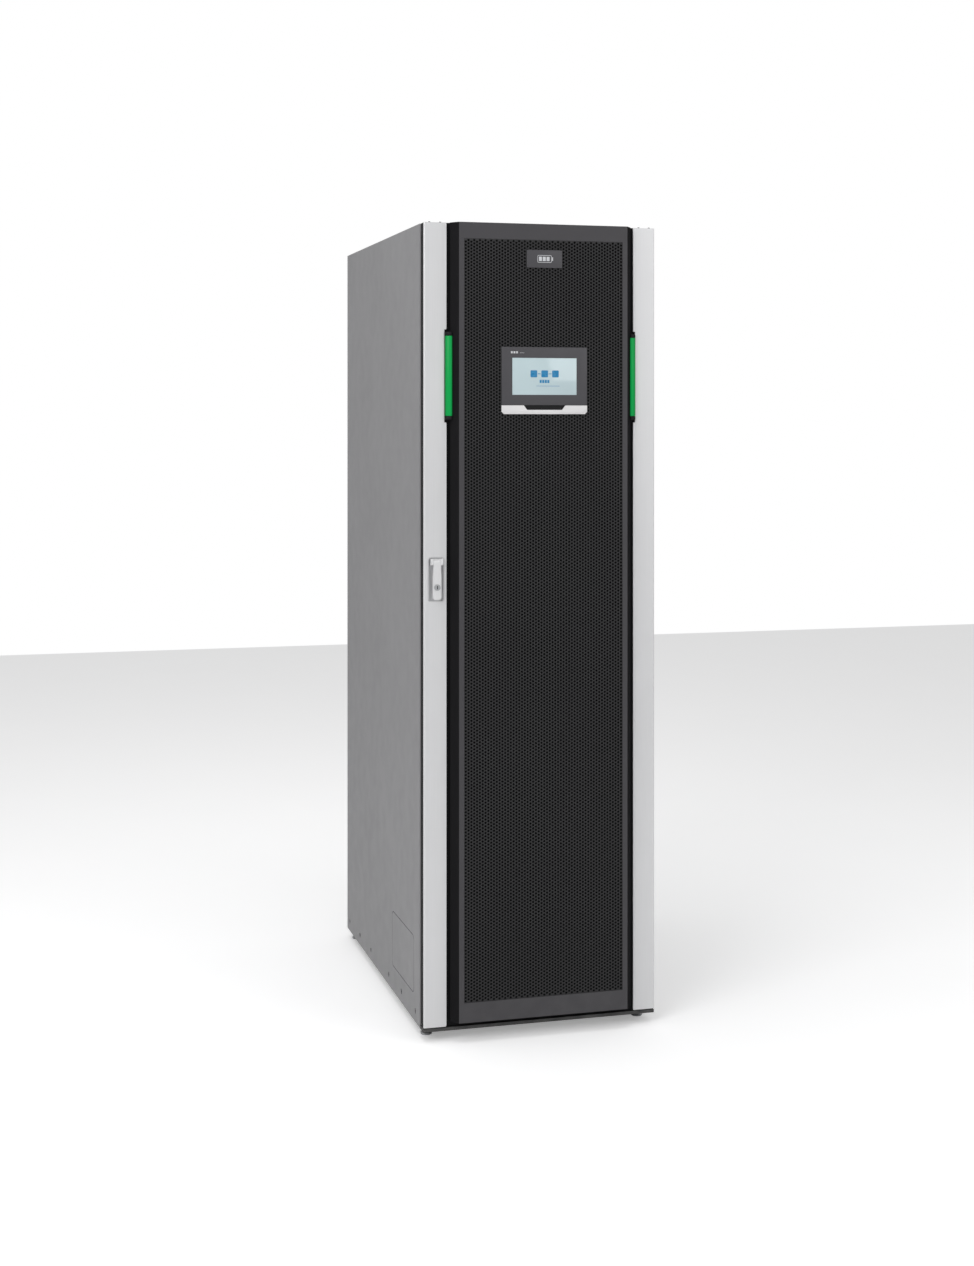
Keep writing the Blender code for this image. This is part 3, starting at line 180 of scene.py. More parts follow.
class EffectGroup:
    """A node group with named inputs and outputs, built once and placed in many materials."""

    def __init__(self, name: str, inputs: dict[str, str], outputs: dict[str, str]) -> None:
        """Makes the group's tree and sockets.

        Args:
            name: The group's name.
            inputs: Socket name to type.
            outputs: Socket name to type.
        """
        self.tree = bpy.data.node_groups.new(name, "ShaderNodeTree")
        for label, kind in inputs.items():
            self.tree.interface.new_socket(label, in_out="INPUT", socket_type=f"NodeSocket{kind}")
        for label, kind in outputs.items():
            self.tree.interface.new_socket(label, in_out="OUTPUT", socket_type=f"NodeSocket{kind}")
        self.wires = Wiring(self.tree)
        self.start = self.tree.nodes.new("NodeGroupInput")
        self.end = self.tree.nodes.new("NodeGroupOutput")

    def read(self, label: str) -> bpy.types.NodeSocket:
        """Gives one of the group's inputs."""
        return self.start.outputs[label]

    def write(self, label: str, value: bpy.types.NodeSocket) -> None:
        """Links a value to one of the group's outputs."""
        self.wires.link(value, self.end.inputs[label])


def powder_coat_group() -> EffectGroup:
    """Builds the orange-peel and speck texture of a powder coat.

    Returns:
        The group, with Colour, Roughness and Height outputs.
    """
    group = EffectGroup(
        "powder_coat",
        {"Vector": "Vector", "Colour": "Color", "Roughness": "Float", "Variation": "Float"},
        {"Colour": "Color", "Roughness": "Float", "Height": "Float"},
    )
    wires = group.wires
    vector = group.read("Vector")
    cloud = wires.span(wires.noise(vector, 3.2, 2.0), 0.3, 0.7, -0.5, 0.5)
    speck = wires.span(wires.noise(vector, 900.0, 2.0), 0.35, 0.65, -0.5, 0.5)
    both = wires.maths("ADD", wires.maths("MULTIPLY", speck, 0.45), cloud)
    factor = wires.maths("MULTIPLY_ADD", both, group.read("Variation"), 1.0)
    group.write("Colour", wires.shade(group.read("Colour"), factor))
    scuff = wires.span(wires.noise(vector, 24.0, 4.0), 0.35, 0.75, -0.05, 0.07)
    group.write("Roughness", wires.maths("ADD", group.read("Roughness"), scuff))
    peel = wires.noise(vector, 520.0, 2.0)
    group.write("Height", wires.maths("MULTIPLY_ADD", speck, 0.35, peel))
    return group


def brushed_group() -> EffectGroup:
    """Builds the fine lengthwise grain of satin aluminium and drawn steel.

    Returns:
        The group, with Colour, Roughness and Height outputs.
    """
    group = EffectGroup(
        "brushed_grain",
        {
            "Vector": "Vector",
            "Colour": "Color",
            "Roughness": "Float",
            "Variation": "Float",
            "Stretch": "Vector",
        },
        {"Colour": "Color", "Roughness": "Float", "Height": "Float"},
    )
    wires = group.wires
    stretched = wires.node("ShaderNodeVectorMath", operation="MULTIPLY")
    wires.link(group.read("Vector"), stretched.inputs[0])
    wires.link(group.read("Stretch"), stretched.inputs[1])
    grain = wires.noise(stretched.outputs["Vector"], 1.0, 4.0)
    cloud = wires.span(wires.noise(group.read("Vector"), 2.5, 2.0), 0.3, 0.7, -0.35, 0.35)
    streak = wires.span(grain, 0.3, 0.7, -0.5, 0.5)
    both = wires.maths("ADD", streak, cloud)
    factor = wires.maths("MULTIPLY_ADD", both, group.read("Variation"), 1.0)
    group.write("Colour", wires.shade(group.read("Colour"), factor))
    rough = wires.maths("MULTIPLY_ADD", streak, 0.10, group.read("Roughness"))
    group.write("Roughness", rough)
    group.write("Height", grain)
    return group


def moulded_group() -> EffectGroup:
    """Builds the spark-eroded texture of moulded plastic.

    Returns:
        The group, with Colour, Roughness and Height outputs.
    """
    group = EffectGroup(
        "moulded_texture",
        {"Vector": "Vector", "Colour": "Color", "Roughness": "Float", "Variation": "Float"},
        {"Colour": "Color", "Roughness": "Float", "Height": "Float"},
    )
    wires = group.wires
    vector = group.read("Vector")
    pits = wires.node("ShaderNodeTexVoronoi")
    pits.inputs["Scale"].default_value = 1400.0
    wires.link(vector, pits.inputs["Vector"])
    cloud = wires.span(wires.noise(vector, 12.0, 3.0), 0.3, 0.7, -0.5, 0.5)
    factor = wires.maths("MULTIPLY_ADD", cloud, group.read("Variation"), 1.0)
    group.write("Colour", wires.shade(group.read("Colour"), factor))
    rubbed = wires.span(wires.noise(vector, 60.0, 4.0), 0.4, 0.8, -0.04, 0.08)
    group.write("Roughness", wires.maths("ADD", group.read("Roughness"), rubbed))
    group.write("Height", pits.outputs["Distance"])
    return group


def floor_dust_group() -> EffectGroup:
    """Builds the light dust that gathers low on a cabinet.

    Returns:
        The group, with a Colour output.
    """
    group = EffectGroup(
        "floor_dust",
        {"Vector": "Vector", "Colour": "Color", "Amount": "Float", "Reach": "Float"},
        {"Colour": "Color"},
    )
    wires = group.wires
    parts = wires.node("ShaderNodeSeparateXYZ")
    wires.link(group.read("Vector"), parts.inputs["Vector"])
    height = wires.maths("DIVIDE", parts.outputs["Z"], group.read("Reach"))
    fade = wires.span(height, 0.0, 1.0, 1.0, 0.0)
    patches = wires.span(wires.noise(group.read("Vector"), 30.0, 5.0), 0.35, 0.7, 0.2, 1.0)
    mask = wires.maths("MULTIPLY", wires.maths("MULTIPLY", fade, patches), group.read("Amount"))
    mix = wires.node("ShaderNodeMix", data_type="RGBA")
    mix.inputs[7].default_value = (0.42, 0.41, 0.39, 1.0)
    wires.link(mask, mix.inputs[0])
    wires.link(group.read("Colour"), mix.inputs[6])
    group.write("Colour", mix.outputs[2])
    return group


class Effects:
    """The effect groups, built once."""

    def __init__(self) -> None:
        """Builds every group."""
        self.powder = powder_coat_group()
        self.brushed = brushed_group()
        self.moulded = moulded_group()
        self.dust = floor_dust_group()


# ---------------------------------------------------------------- finishes
class Texture(Enum):
    """Which effect group a finish runs through."""

    POWDER = "powder"
    BRUSHED = "brushed"
    MOULDED = "moulded"


@dataclass(frozen=True)
class Finish:
    """One surface finish and the material that it makes."""

    name: str
    colour: Colour
    roughness: float
    texture: Texture
    metallic: float = 0.0
    variation: float = 0.06
    bump: float = 0.15
    bump_distance: float = 0.0001
    coat: float = 0.0
    dust: float = 0.0
    dust_reach: float = 0.25
    specular: float = 0.5
    glow: Colour | None = None
    glow_strength: float = 0.0
    # Share of the glow taken away towards the rims: painted shade on a lamp's lens.
    painted_rim_shade: float = 0.0
    stretch: Point = (1400.0, 1400.0, 9.0)

    def material(self, effects: Effects) -> bpy.types.Material:
        """Builds the material once, or finds it again.

        Args:
            effects: The effect groups.

        Returns:
            The material.
        """
        found = bpy.data.materials.get(self.name)
        if found:
            return found
        made = bpy.data.materials.new(self.name)
        made.use_nodes = True
        wires = Wiring(made.node_tree)
        shader = made.node_tree.nodes["Principled BSDF"]
        place = wires.node("ShaderNodeTexCoord").outputs["Object"]
        group = wires.node("ShaderNodeGroup", node_tree=getattr(effects, self.texture.value).tree)
        wires.link(place, group.inputs["Vector"])
        group.inputs["Colour"].default_value = (*self.colour, 1.0)
        group.inputs["Roughness"].default_value = self.roughness
        group.inputs["Variation"].default_value = self.variation
        if self.texture is Texture.BRUSHED:
            group.inputs["Stretch"].default_value = self.stretch
        colour = group.outputs["Colour"]
        if self.dust:
            dust = wires.node("ShaderNodeGroup", node_tree=effects.dust.tree)
            wires.link(place, dust.inputs["Vector"])
            wires.link(colour, dust.inputs["Colour"])
            dust.inputs["Amount"].default_value = self.dust
            dust.inputs["Reach"].default_value = self.dust_reach
            colour = dust.outputs["Colour"]
        wires.link(colour, shader.inputs["Base Color"])
        wires.link(group.outputs["Roughness"], shader.inputs["Roughness"])
        bump = wires.node("ShaderNodeBump")
        bump.inputs["Strength"].default_value = self.bump
        bump.inputs["Distance"].default_value = self.bump_distance
        wires.link(group.outputs["Height"], bump.inputs["Height"])
        wires.link(bump.outputs["Normal"], shader.inputs["Normal"])
        shader.inputs["Metallic"].default_value = self.metallic
        shader.inputs["Specular IOR Level"].default_value = self.specular
        shader.inputs["Coat Weight"].default_value = self.coat
        shader.inputs["Coat Roughness"].default_value = 0.12
        if self.glow:
            shader.inputs["Emission Color"].default_value = (*self.glow, 1.0)
            shader.inputs["Emission Strength"].default_value = self.glow_strength
        # Painted shade: the glow dims towards the rims as the camera sees them, standing in for the shading of the
        # lens's curve.
        if self.painted_rim_shade:
            edge = wires.node("ShaderNodeLayerWeight").outputs["Facing"]
            fade = wires.maths("MULTIPLY_ADD", edge, -self.painted_rim_shade * self.glow_strength, self.glow_strength)
            wires.link(fade, shader.inputs["Emission Strength"])
        return made


SIDE_PAINT = Finish("side_grey_coat", (0.285, 0.283, 0.291), 0.52, Texture.POWDER, dust=0.10)
DOOR_PAINT = Finish(
    "door_dark_coat", (0.064, 0.062, 0.067), 0.5, Texture.POWDER, variation=0.08, dust=0.04, specular=0.3
)
SHEET_PAINT = Finish(
    "perforated_coat", (0.036, 0.036, 0.037), 0.6, Texture.POWDER, variation=0.10, specular=0.15
)
PAN_PAINT = Finish(
    "pan_black_coat", (0.008, 0.008, 0.009), 0.65, Texture.POWDER, variation=0.10, specular=0.12
)
BASE_PAINT = Finish("base_black_coat", (0.03, 0.03, 0.031), 0.6, Texture.POWDER, dust=0.25, dust_reach=0.08)
TRIM_METAL = Finish(
    "satin_anodised_trim", (0.76, 0.762, 0.772), 0.4, Texture.BRUSHED, metallic=0.3, variation=0.035, bump=0.08
)
LEVER_METAL = Finish(
    "cast_lever", (0.84, 0.842, 0.85), 0.35, Texture.BRUSHED, metallic=0.35, variation=0.04, bump=0.06
)
ZINC = Finish(
    "zinc_plate", (0.56, 0.57, 0.585), 0.38, Texture.BRUSHED, metallic=1.0, variation=0.16, bump=0.1
)
SCREW_BLACK = Finish(
    "blackened_screw", (0.022, 0.022, 0.024), 0.38, Texture.BRUSHED, metallic=0.7, variation=0.2
)
LENS_GREEN = Finish(
    "green_light_lens",
    (0.001, 0.20, 0.04),
    0.34,
    Texture.MOULDED,
    variation=0.05,
    bump=0.02,
    specular=0.2,
    glow=(0.001, 0.40, 0.08),
    glow_strength=0.42,
    painted_rim_shade=1.0,
)
DISPLAY_PLASTIC = Finish(
    "display_housing_plastic", (0.074, 0.072, 0.079), 0.45, Texture.MOULDED, bump=0.12, specular=0.35
)
PALE_PLASTIC = Finish(
    "pale_strip_plastic", (0.76, 0.75, 0.755), 0.34, Texture.MOULDED, variation=0.03, bump=0.08
)
BLACK_PLASTIC = Finish(
    "black_moulded", (0.009, 0.009, 0.01), 0.55, Texture.MOULDED, variation=0.12, bump=0.2, specular=0.2
)
BATTERY_PLASTIC = Finish(
    "battery_tray", (0.026, 0.029, 0.033), 0.55, Texture.MOULDED, variation=0.14, bump=0.25, specular=0.25
)
MODULE_PAINT = Finish(
    "module_coat", (0.022, 0.022, 0.024), 0.55, Texture.POWDER, variation=0.10, specular=0.25
)
GRIP_GREY = Finish("grip_grey", (0.2, 0.205, 0.21), 0.5, Texture.MOULDED, variation=0.08, bump=0.2)
LEAD_ORANGE = Finish("orange_lead", (0.72, 0.17, 0.02), 0.45, Texture.MOULDED, variation=0.1, bump=0.1)
# Black rubber of the door seal; also the painted shade in vent slots and the knock-out groove.
RUBBER_AND_PAINTED_SHADE = Finish("seal_rubber_and_painted_shade", (0.018, 0.018, 0.019), 0.75, Texture.MOULDED, variation=0.15, bump=0.3)
MARK_PALE = Finish("printed_mark", (0.62, 0.63, 0.65), 0.5, Texture.MOULDED, variation=0.02, bump=0.0)
MARK_BLUE = Finish(
    "screen_blue_mark", (0.02, 0.18, 0.36), 0.3, Texture.MOULDED, variation=0.02, bump=0.0,
    glow=(0.01, 0.12, 0.26), glow_strength=0.35,
)
SCREEN = Finish(
    "lit_screen", (0.44, 0.54, 0.565), 0.12, Texture.MOULDED, variation=0.05, bump=0.0, coat=0.6,
    glow=(0.40, 0.50, 0.53), glow_strength=0.24,
)
BREAKER_RED = Finish("breaker_red", (0.45, 0.02, 0.015), 0.42, Texture.MOULDED, variation=0.06, bump=0.15)
LED_GREEN = Finish(
    "led_green", (0.05, 0.5, 0.12), 0.2, Texture.MOULDED, bump=0.0, glow=(0.05, 0.8, 0.2), glow_strength=0.8
)
COPPER = Finish("tinned_copper", (0.72, 0.42, 0.25), 0.3, Texture.BRUSHED, metallic=1.0, variation=0.15)
ROOF_PAINT = Finish("roof_dark_coat", (0.05, 0.05, 0.052), 0.52, Texture.POWDER, dust=0.05)
PANEL_PAINT = Finish(
    "panel_grey_coat", (0.16, 0.162, 0.165), 0.5, Texture.POWDER, variation=0.05, specular=0.3
)
# Painted shade: a darker, flatter copy of the door coat for the centre panel's slopes, which stand in shadow.
SLOPE_PAINTED_SHADE = Finish(
    "door_slope_painted_shade", (0.013, 0.0127, 0.0137), 0.85, Texture.POWDER, variation=0.08, specular=0.03
)
# Dark foam of the filters, also painted shade for the cabinet's inside seen through holes and slats.
FILTER_FOAM_AND_SHADE = Finish(
    "filter_foam_and_painted_shade", (0.006, 0.006, 0.0065), 0.9, Texture.MOULDED, variation=0.2, bump=0.4, specular=0.05
)
FLOOR = Finish(
    "studio_floor_coat", (0.93, 0.93, 0.935), 0.8, Texture.POWDER, variation=0.01, bump=0.0, specular=0.1,
    glow=(1.0, 1.0, 1.0), glow_strength=0.0,
)

# Profiles of small turned pieces, as (radius, height) pairs.
LAMP_PROFILE = [(0, 0.0006), (0.0022, 0.0006), (0.0022, -0.0008), (0.0012, -0.0016), (0, -0.0018)]
LAMP_STEPS = 14
CONTACT_PROFILE = [(0, 0.0), (0.0052, 0.0), (0.0052, 0.0012), (0.0034, 0.0014), (0.0034, 0.0006), (0, 0.0006)]


# ---------------------------------------------------------------- modelling
def block(low: Point, high: Point, bevel: float = 0.0, segments: int = 2) -> bmesh.types.BMesh:
    """Makes a block between two corners, with its edges rounded.

    Args:
        low: Lowest corner.
        high: Highest corner.
        bevel: Width of the rounded edges.
        segments: Faces across each rounded edge.

    Returns:
        The block's bmesh.
    """
    bm = bmesh.new()
    low_v, high_v = Vector(low), Vector(high)
    bmesh.ops.create_cube(bm, size=1.0)
    bmesh.ops.scale(bm, vec=high_v - low_v, verts=bm.verts)
    bmesh.ops.translate(bm, vec=(low_v + high_v) / 2, verts=bm.verts)
    if bevel:
        round_over(bm, list(bm.edges), bevel, segments)
    return bm


def round_over(bm: bmesh.types.BMesh, edges: list[bmesh.types.BMEdge], width: float, segments: int = 2) -> None:
    """Bevels edges to a round.

    Args:
        bm: The bmesh.
        edges: The edges to round.
        width: The round's width.
        segments: Faces across it.
    """
    bmesh.ops.bevel(
        bm, geom=edges, offset=width, segments=segments, profile=0.5, affect="EDGES", material=-1
    )


def aim(bm: bmesh.types.BMesh, axis: Axis, centre: Point) -> None:
    """Turns a shape made along +Z to an axis and moves its origin to a point.

    Args:
        bm: The bmesh.
        axis: The axis that +Z becomes.
        centre: Where its origin goes.
    """
    turn = axis.value.to_track_quat("Z", "Y").to_matrix()
    bmesh.ops.rotate(bm, cent=(0, 0, 0), matrix=turn, verts=bm.verts)
    bmesh.ops.translate(bm, vec=Vector(centre), verts=bm.verts)


def turned(
    profile: list[tuple[float, float]], axis: Axis, centre: Point, steps: int = 24
) -> bmesh.types.BMesh:
    """Spins a profile of (radius, height) pairs about an axis.

    Args:
        profile: The pairs; a radius of 0 closes an end.
        axis: The axis it is spun about.
        centre: Where the profile's origin goes.
        steps: Faces round it.

    Returns:
        The turned shape's bmesh.
    """
    bm = bmesh.new()
    points = [bm.verts.new((radius, 0.0, height)) for radius, height in profile]
    edges = [bm.edges.new(pair) for pair in zip(points, points[1:])]
    bmesh.ops.spin(
        bm, geom=points + edges, cent=(0, 0, 0), axis=(0, 0, 1), angle=2 * pi, steps=steps, use_merge=True
    )
    bmesh.ops.remove_doubles(bm, verts=bm.verts, dist=1e-6)
    bmesh.ops.recalc_face_normals(bm, faces=bm.faces)
    aim(bm, axis, centre)
    return bm


def prism(
    outline: list[tuple[float, float]], axis: Axis, low: float, high: float, bevel: float = 0.0
) -> bmesh.types.BMesh:
    """Extrudes an outline: (x, y) along Z, (x, z) along Y or (y, z) along X.

    Args:
        outline: The corners, in order.
        axis: The direction of the extrusion.
        low: Where it starts.
        high: Where it ends.
        bevel: Width of the round on its two rims.

    Returns:
        The prism's bmesh.
    """
    bm = bmesh.new()
    placed = {
        Axis.Z: lambda a, b: (a, b, low),
        Axis.Y: lambda a, b: (a, low, b),
        Axis.X: lambda a, b: (low, a, b),
    }[axis]
    face = bm.faces.new([bm.verts.new(placed(*pair)) for pair in outline])
    grown = bmesh.ops.extrude_face_region(bm, geom=[face])["geom"]
    moved = [item for item in grown if isinstance(item, bmesh.types.BMVert)]
    bmesh.ops.translate(bm, vec=axis.value * (high - low), verts=moved)
    bmesh.ops.recalc_face_normals(bm, faces=bm.faces)
    if bevel:
        along = axis.value
        rims = [e for e in bm.edges if abs((e.verts[1].co - e.verts[0].co).normalized().dot(along)) < 0.5]
        round_over(bm, rims, bevel)
    return bm


def rounded(low: tuple[float, float], high: tuple[float, float], radius: float, steps: int = 5) -> list:
    """Gives the corners of a rounded rectangle.

    Args:
        low: Lower left corner.
        high: Upper right corner.
        radius: Corner radius.
        steps: Stretches in each corner's arc.

    Returns:
        The points in order.
    """
    points = []
    corners = (
        (high[0] - radius, low[1] + radius, -90),
        (high[0] - radius, high[1] - radius, 0),
        (low[0] + radius, high[1] - radius, 90),
        (low[0] + radius, low[1] + radius, 180),
    )
    for x, y, start in corners:
        for step in range(steps + 1):
            angle = radians(start + 90 * step / steps)
            points.append((x + radius * cos(angle), y + radius * sin(angle)))
    return points


def merged(parts: list[bmesh.types.BMesh]) -> bmesh.types.BMesh:
    """Puts several shapes into one bmesh and frees them.

    Args:
        parts: The shapes.

    Returns:
        One bmesh that holds them all.
    """
    whole = bmesh.new()
    for part in parts:
        mesh = bpy.data.meshes.new("part")
        part.to_mesh(mesh)
        part.free()
        whole.from_mesh(mesh)
        bpy.data.meshes.remove(mesh)
    return whole


def tube(points: list[Point], radius: float, sides: int = 10) -> bmesh.types.BMesh:
    """Sweeps a round section along a smooth route.

    Args:
        points: The route's points.
        radius: The tube's radius.
        sides: Faces round it.

    Returns:
        The tube's bmesh, closed at both ends.
    """
    curve = bpy.data.curves.new("route", "CURVE")
    curve.dimensions = "3D"
    curve.bevel_depth = radius
    curve.bevel_resolution = max(1, sides // 4)
    curve.use_fill_caps = True
    spline = curve.splines.new("NURBS")
    spline.points.add(len(points) - 1)
    for target, point in zip(spline.points, points):
        target.co = (*point, 1.0)
    spline.use_endpoint_u = True
    spline.order_u = 4
    spline.resolution_u = 5
    holder = bpy.data.objects.new("route", curve)
    bpy.context.scene.collection.objects.link(holder)
    bpy.context.view_layer.update()
    mesh = bpy.data.meshes.new_from_object(holder)
    bm = bmesh.new()
    bm.from_mesh(mesh)
    bmesh.ops.remove_doubles(bm, verts=bm.verts, dist=1e-6)
    bpy.data.objects.remove(holder)
    bpy.data.curves.remove(curve)
    bpy.data.meshes.remove(mesh)
    bmesh.ops.recalc_face_normals(bm, faces=bm.faces)
    return bm


class Workshop:
    """Turns shapes into pieces: gives them a finish and a body, and reports them."""

    def __init__(self, effects: Effects) -> None:
        """Keeps the effect groups that the finishes use."""
        self.effects = effects
        self.count = 0

    def piece(
        self,
        name: str,
        shape: bmesh.types.BMesh,
        finish: Finish,
        body: Body,
        slot: str,
        replaces: tuple[str, ...] = (),
        smooth: float = 35.0,
    ) -> bpy.types.Object:
        """Makes an object from a shape and lets it ride on a body.

        Args:
            name: The piece's name.
            shape: Its bmesh, which is freed.
            finish: Its finish.
            body: The body it rides on.
            slot: The record's material slot; not used.
            replaces: CAD nodes it stands for.
            smooth: Angle in degrees under which edges are shaded smooth.

        Returns:
            The piece's object.
        """
        mesh = bpy.data.meshes.new(name)
        shape.to_mesh(mesh)
        shape.free()
        mesh.materials.append(finish.material(self.effects))
        mesh.shade_smooth()
        mesh.set_sharp_from_angle(angle=radians(smooth))
        made = bpy.data.objects.new(name, mesh)
        bpy.context.scene.collection.objects.link(made)
        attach(made, body.value)
        if replaces:
            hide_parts(*replaces)
        self.count += 1
        LOG.info("%s: %d faces on %s", name, len(mesh.polygons), body.value)
        return made

    def dress(self, finish: Finish, *nodes: str) -> None:
        """Gives carried-over CAD nodes their finish.

        Args:
            finish: The finish.
            nodes: The nodes' names.
        """
        for name in nodes:
            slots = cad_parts[name].data.materials
            slots.clear()
            slots.append(finish.material(self.effects))
            LOG.info("%s dressed in %s", name, finish.name)


class Drive(Enum):
    """The recess in a screw's head."""

    HEX = 6
    TORX = 12
    CROSS = 4


@dataclass(frozen=True)
class Screw:
    """A button-head screw: a domed head with a recess."""

    radius: float = 0.0045
    height: float = 0.0018
    drive: Drive = Drive.TORX

    def shape(self, axis: Axis, place: Point, outward: float = 1.0) -> bmesh.types.BMesh:
        """Builds the head.

        Args:
            axis: The screw's axis.
            place: The middle of the head's seat.
            outward: 1 or -1, the way along the axis that the head faces.

        Returns:
            The head's bmesh.
        """
        r, h = self.radius, self.height
        bore = r * 0.42
        profile = [(0.0, h * 0.35), (bore, h * 0.35), (bore, h * 0.98)]
        profile += [(bore + (r - bore) * sin(a), h * cos(a) + 0.0002) for a in (0.35, 0.8, 1.2, 1.5)]
        profile += [(r, 0.0), (0.0, 0.0)]
        bm = turned([(radius, outward * height) for radius, height in profile], axis, place, 18)
        bmesh.ops.recalc_face_normals(bm, faces=bm.faces)
        return bm


def screws(places: list[Point], axis: Axis, outward: float, kind: Screw = Screw()) -> bmesh.types.BMesh:
    """Builds a set of equal screws.

    Args:
        places: Where each head sits.
        axis: Their axis.
        outward: The way the heads face.
        kind: The screw.

    Returns:
        The set's bmesh.
    """
    return merged([kind.shape(axis, place, outward) for place in places])


# ---------------------------------------------------------------- door
@dataclass
class PerforatedSheet:
    """The door's sheet with staggered holes, made in upright strips."""

    workshop: Workshop
    columns: int = 57
    strips: int = 3
    pitch: float = 0.0077
    hole_radius: float = 0.0029
    thickness: float = 0.0012

    def strip(self, low: Vector, high: Vector, first: int, last: int) -> bmesh.types.BMesh:
        """Builds one strip as a flat net of cells with holes.

        Args:
            low: The sheet's lowest corner.
            high: The sheet's highest corner.
            first: First column.
            last: Column after the last.

        Returns:
            The strip's flat bmesh, facing -Y.
        """
        width = (high.x - low.x) / self.columns
        rows = int((high.z - low.z) / self.pitch - 0.5)
        height = (high.z - low.z) / (rows + 0.5)
        bm = bmesh.new()
        outer = ((1, 0), (1, 1), (-1, 1), (-1, 0), (-1, -1), (1, -1))
        rim = [bm.verts.new((a * width / 2, 0.0, b * height / 2)) for a, b in outer]
        hole = bmesh.ops.create_circle(bm, cap_ends=False, segments=6, radius=self.hole_radius)["verts"]
        bmesh.ops.rotate(bm, cent=(0, 0, 0), matrix=Matrix.Rotation(pi / 2, 3, "X"), verts=hole)
        bmesh.ops.rotate(bm, cent=(0, 0, 0), matrix=Matrix.Rotation(pi / 6, 3, "Y"), verts=hole)
        hole_ring = [min(hole, key=lambda v: (v.co - self.target(a, b)).length) for a, b in outer]
        for index in range(6):
            after = (index + 1) % 6
            bm.faces.new((rim[index], hole_ring[index], hole_ring[after], rim[after]))
        cell = list(bm.verts) + list(bm.edges) + list(bm.faces)
        bmesh.ops.translate(bm, vec=(width / 2, 0, height / 2), verts=bm.verts)
        self.stack(bm, cell, Vector((0, 0, height)), rows)
        pair = list(bm.verts) + list(bm.edges) + list(bm.faces)
        offset = Vector((width, 0, height / 2))
        bmesh.ops.translate(
            bm,
            vec=offset,
            verts=[v for v in bmesh.ops.duplicate(bm, geom=pair)["geom"] if isinstance(v, bmesh.types.BMVert)],
        )
        for column, bottom in ((0, rows * height), (1, 0.0)):
            top = bottom + height / 2
            corners = ((column, bottom), (column + 1, bottom), (column + 1, top), (column, top))
            bm.faces.new([bm.verts.new((a * width, 0.0, b)) for a, b in corners])
        bmesh.ops.remove_doubles(bm, verts=bm.verts, dist=1e-5)
        count = last - first
        double = list(bm.verts) + list(bm.edges) + list(bm.faces)
        self.stack(bm, double, Vector((2 * width, 0, 0)), (count + 1) // 2)
        if first % 2:
            bmesh.ops.translate(bm, vec=(-width, 0, 0), verts=bm.verts)
        shift = Vector((low.x + first * width, low.y, low.z))
        bmesh.ops.translate(bm, vec=shift, verts=bm.verts)
        bmesh.ops.remove_doubles(bm, verts=bm.verts, dist=1e-5)
        return bm

    def target(self, a: float, b: float) -> Vector:
        """Gives the hole's corner nearest to one of the cell's rim points."""
        direction = Vector((a, 0.0, b * 1.732)) if b else Vector((a, 0.0, 0.0))
        return direction.normalized() * self.hole_radius

    def stack(self, bm: bmesh.types.BMesh, unit: list, step: Vector, count: int) -> None:
        """Repeats part of a bmesh along a step.

        Args:
            bm: The bmesh.
            unit: The elements to repeat.
            step: From one copy to the next.
            count: How many copies there are in the end.
        """
        for index in range(1, count):
            copies = bmesh.ops.duplicate(bm, geom=unit)["geom"]
            fresh = [v for v in copies if isinstance(v, bmesh.types.BMVert)]
            bmesh.ops.translate(bm, vec=step * index, verts=fresh)

    def build(self) -> None:
        """Builds the strips in place of the plain sheet."""
        low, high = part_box("perforated_sheet")
        width = (high.x - low.x) / self.columns
        hole_low, hole_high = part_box("display_housing")
        each = self.columns // self.strips
        for index in range(self.strips):
            first = index * each
            last = self.columns if index == self.strips - 1 else first + each
            bm = self.strip(low, high, first, last)
            left = low.x + (first + 0.01) * width
            right = low.x + (last - 0.01) * width
            spare = [
                f for f in bm.faces if min(v.co.x for v in f.verts) > right or max(v.co.x for v in f.verts) < left
            ]
            behind = [
                f
                for f in bm.faces
                if f not in spare and self.is_behind(f.calc_center_median(), hole_low, hole_high)
            ]
            bmesh.ops.delete(bm, geom=spare + behind, context="FACES")
            bm.normal_update()
            for face in bm.faces:
                if face.normal.y > 0:
                    face.normal_flip()
            name = f"perforated_strip_{index + 1}"
            replaced = ("perforated_sheet",) if index == 0 else ()
            made = self.workshop.piece(name, bm, SHEET_PAINT, Body.DOOR, "door_paint", replaced)
            wall = made.modifiers.new("wall", "SOLIDIFY")
            wall.thickness = self.thickness
            wall.offset = -1.0

    def is_behind(self, point: Vector, low: Vector, high: Vector) -> bool:
        """Says whether a point is covered by the display's housing."""
        margin = 0.012
        return low.x + margin < point.x < high.x - margin and low.z + margin < point.z < high.z - margin


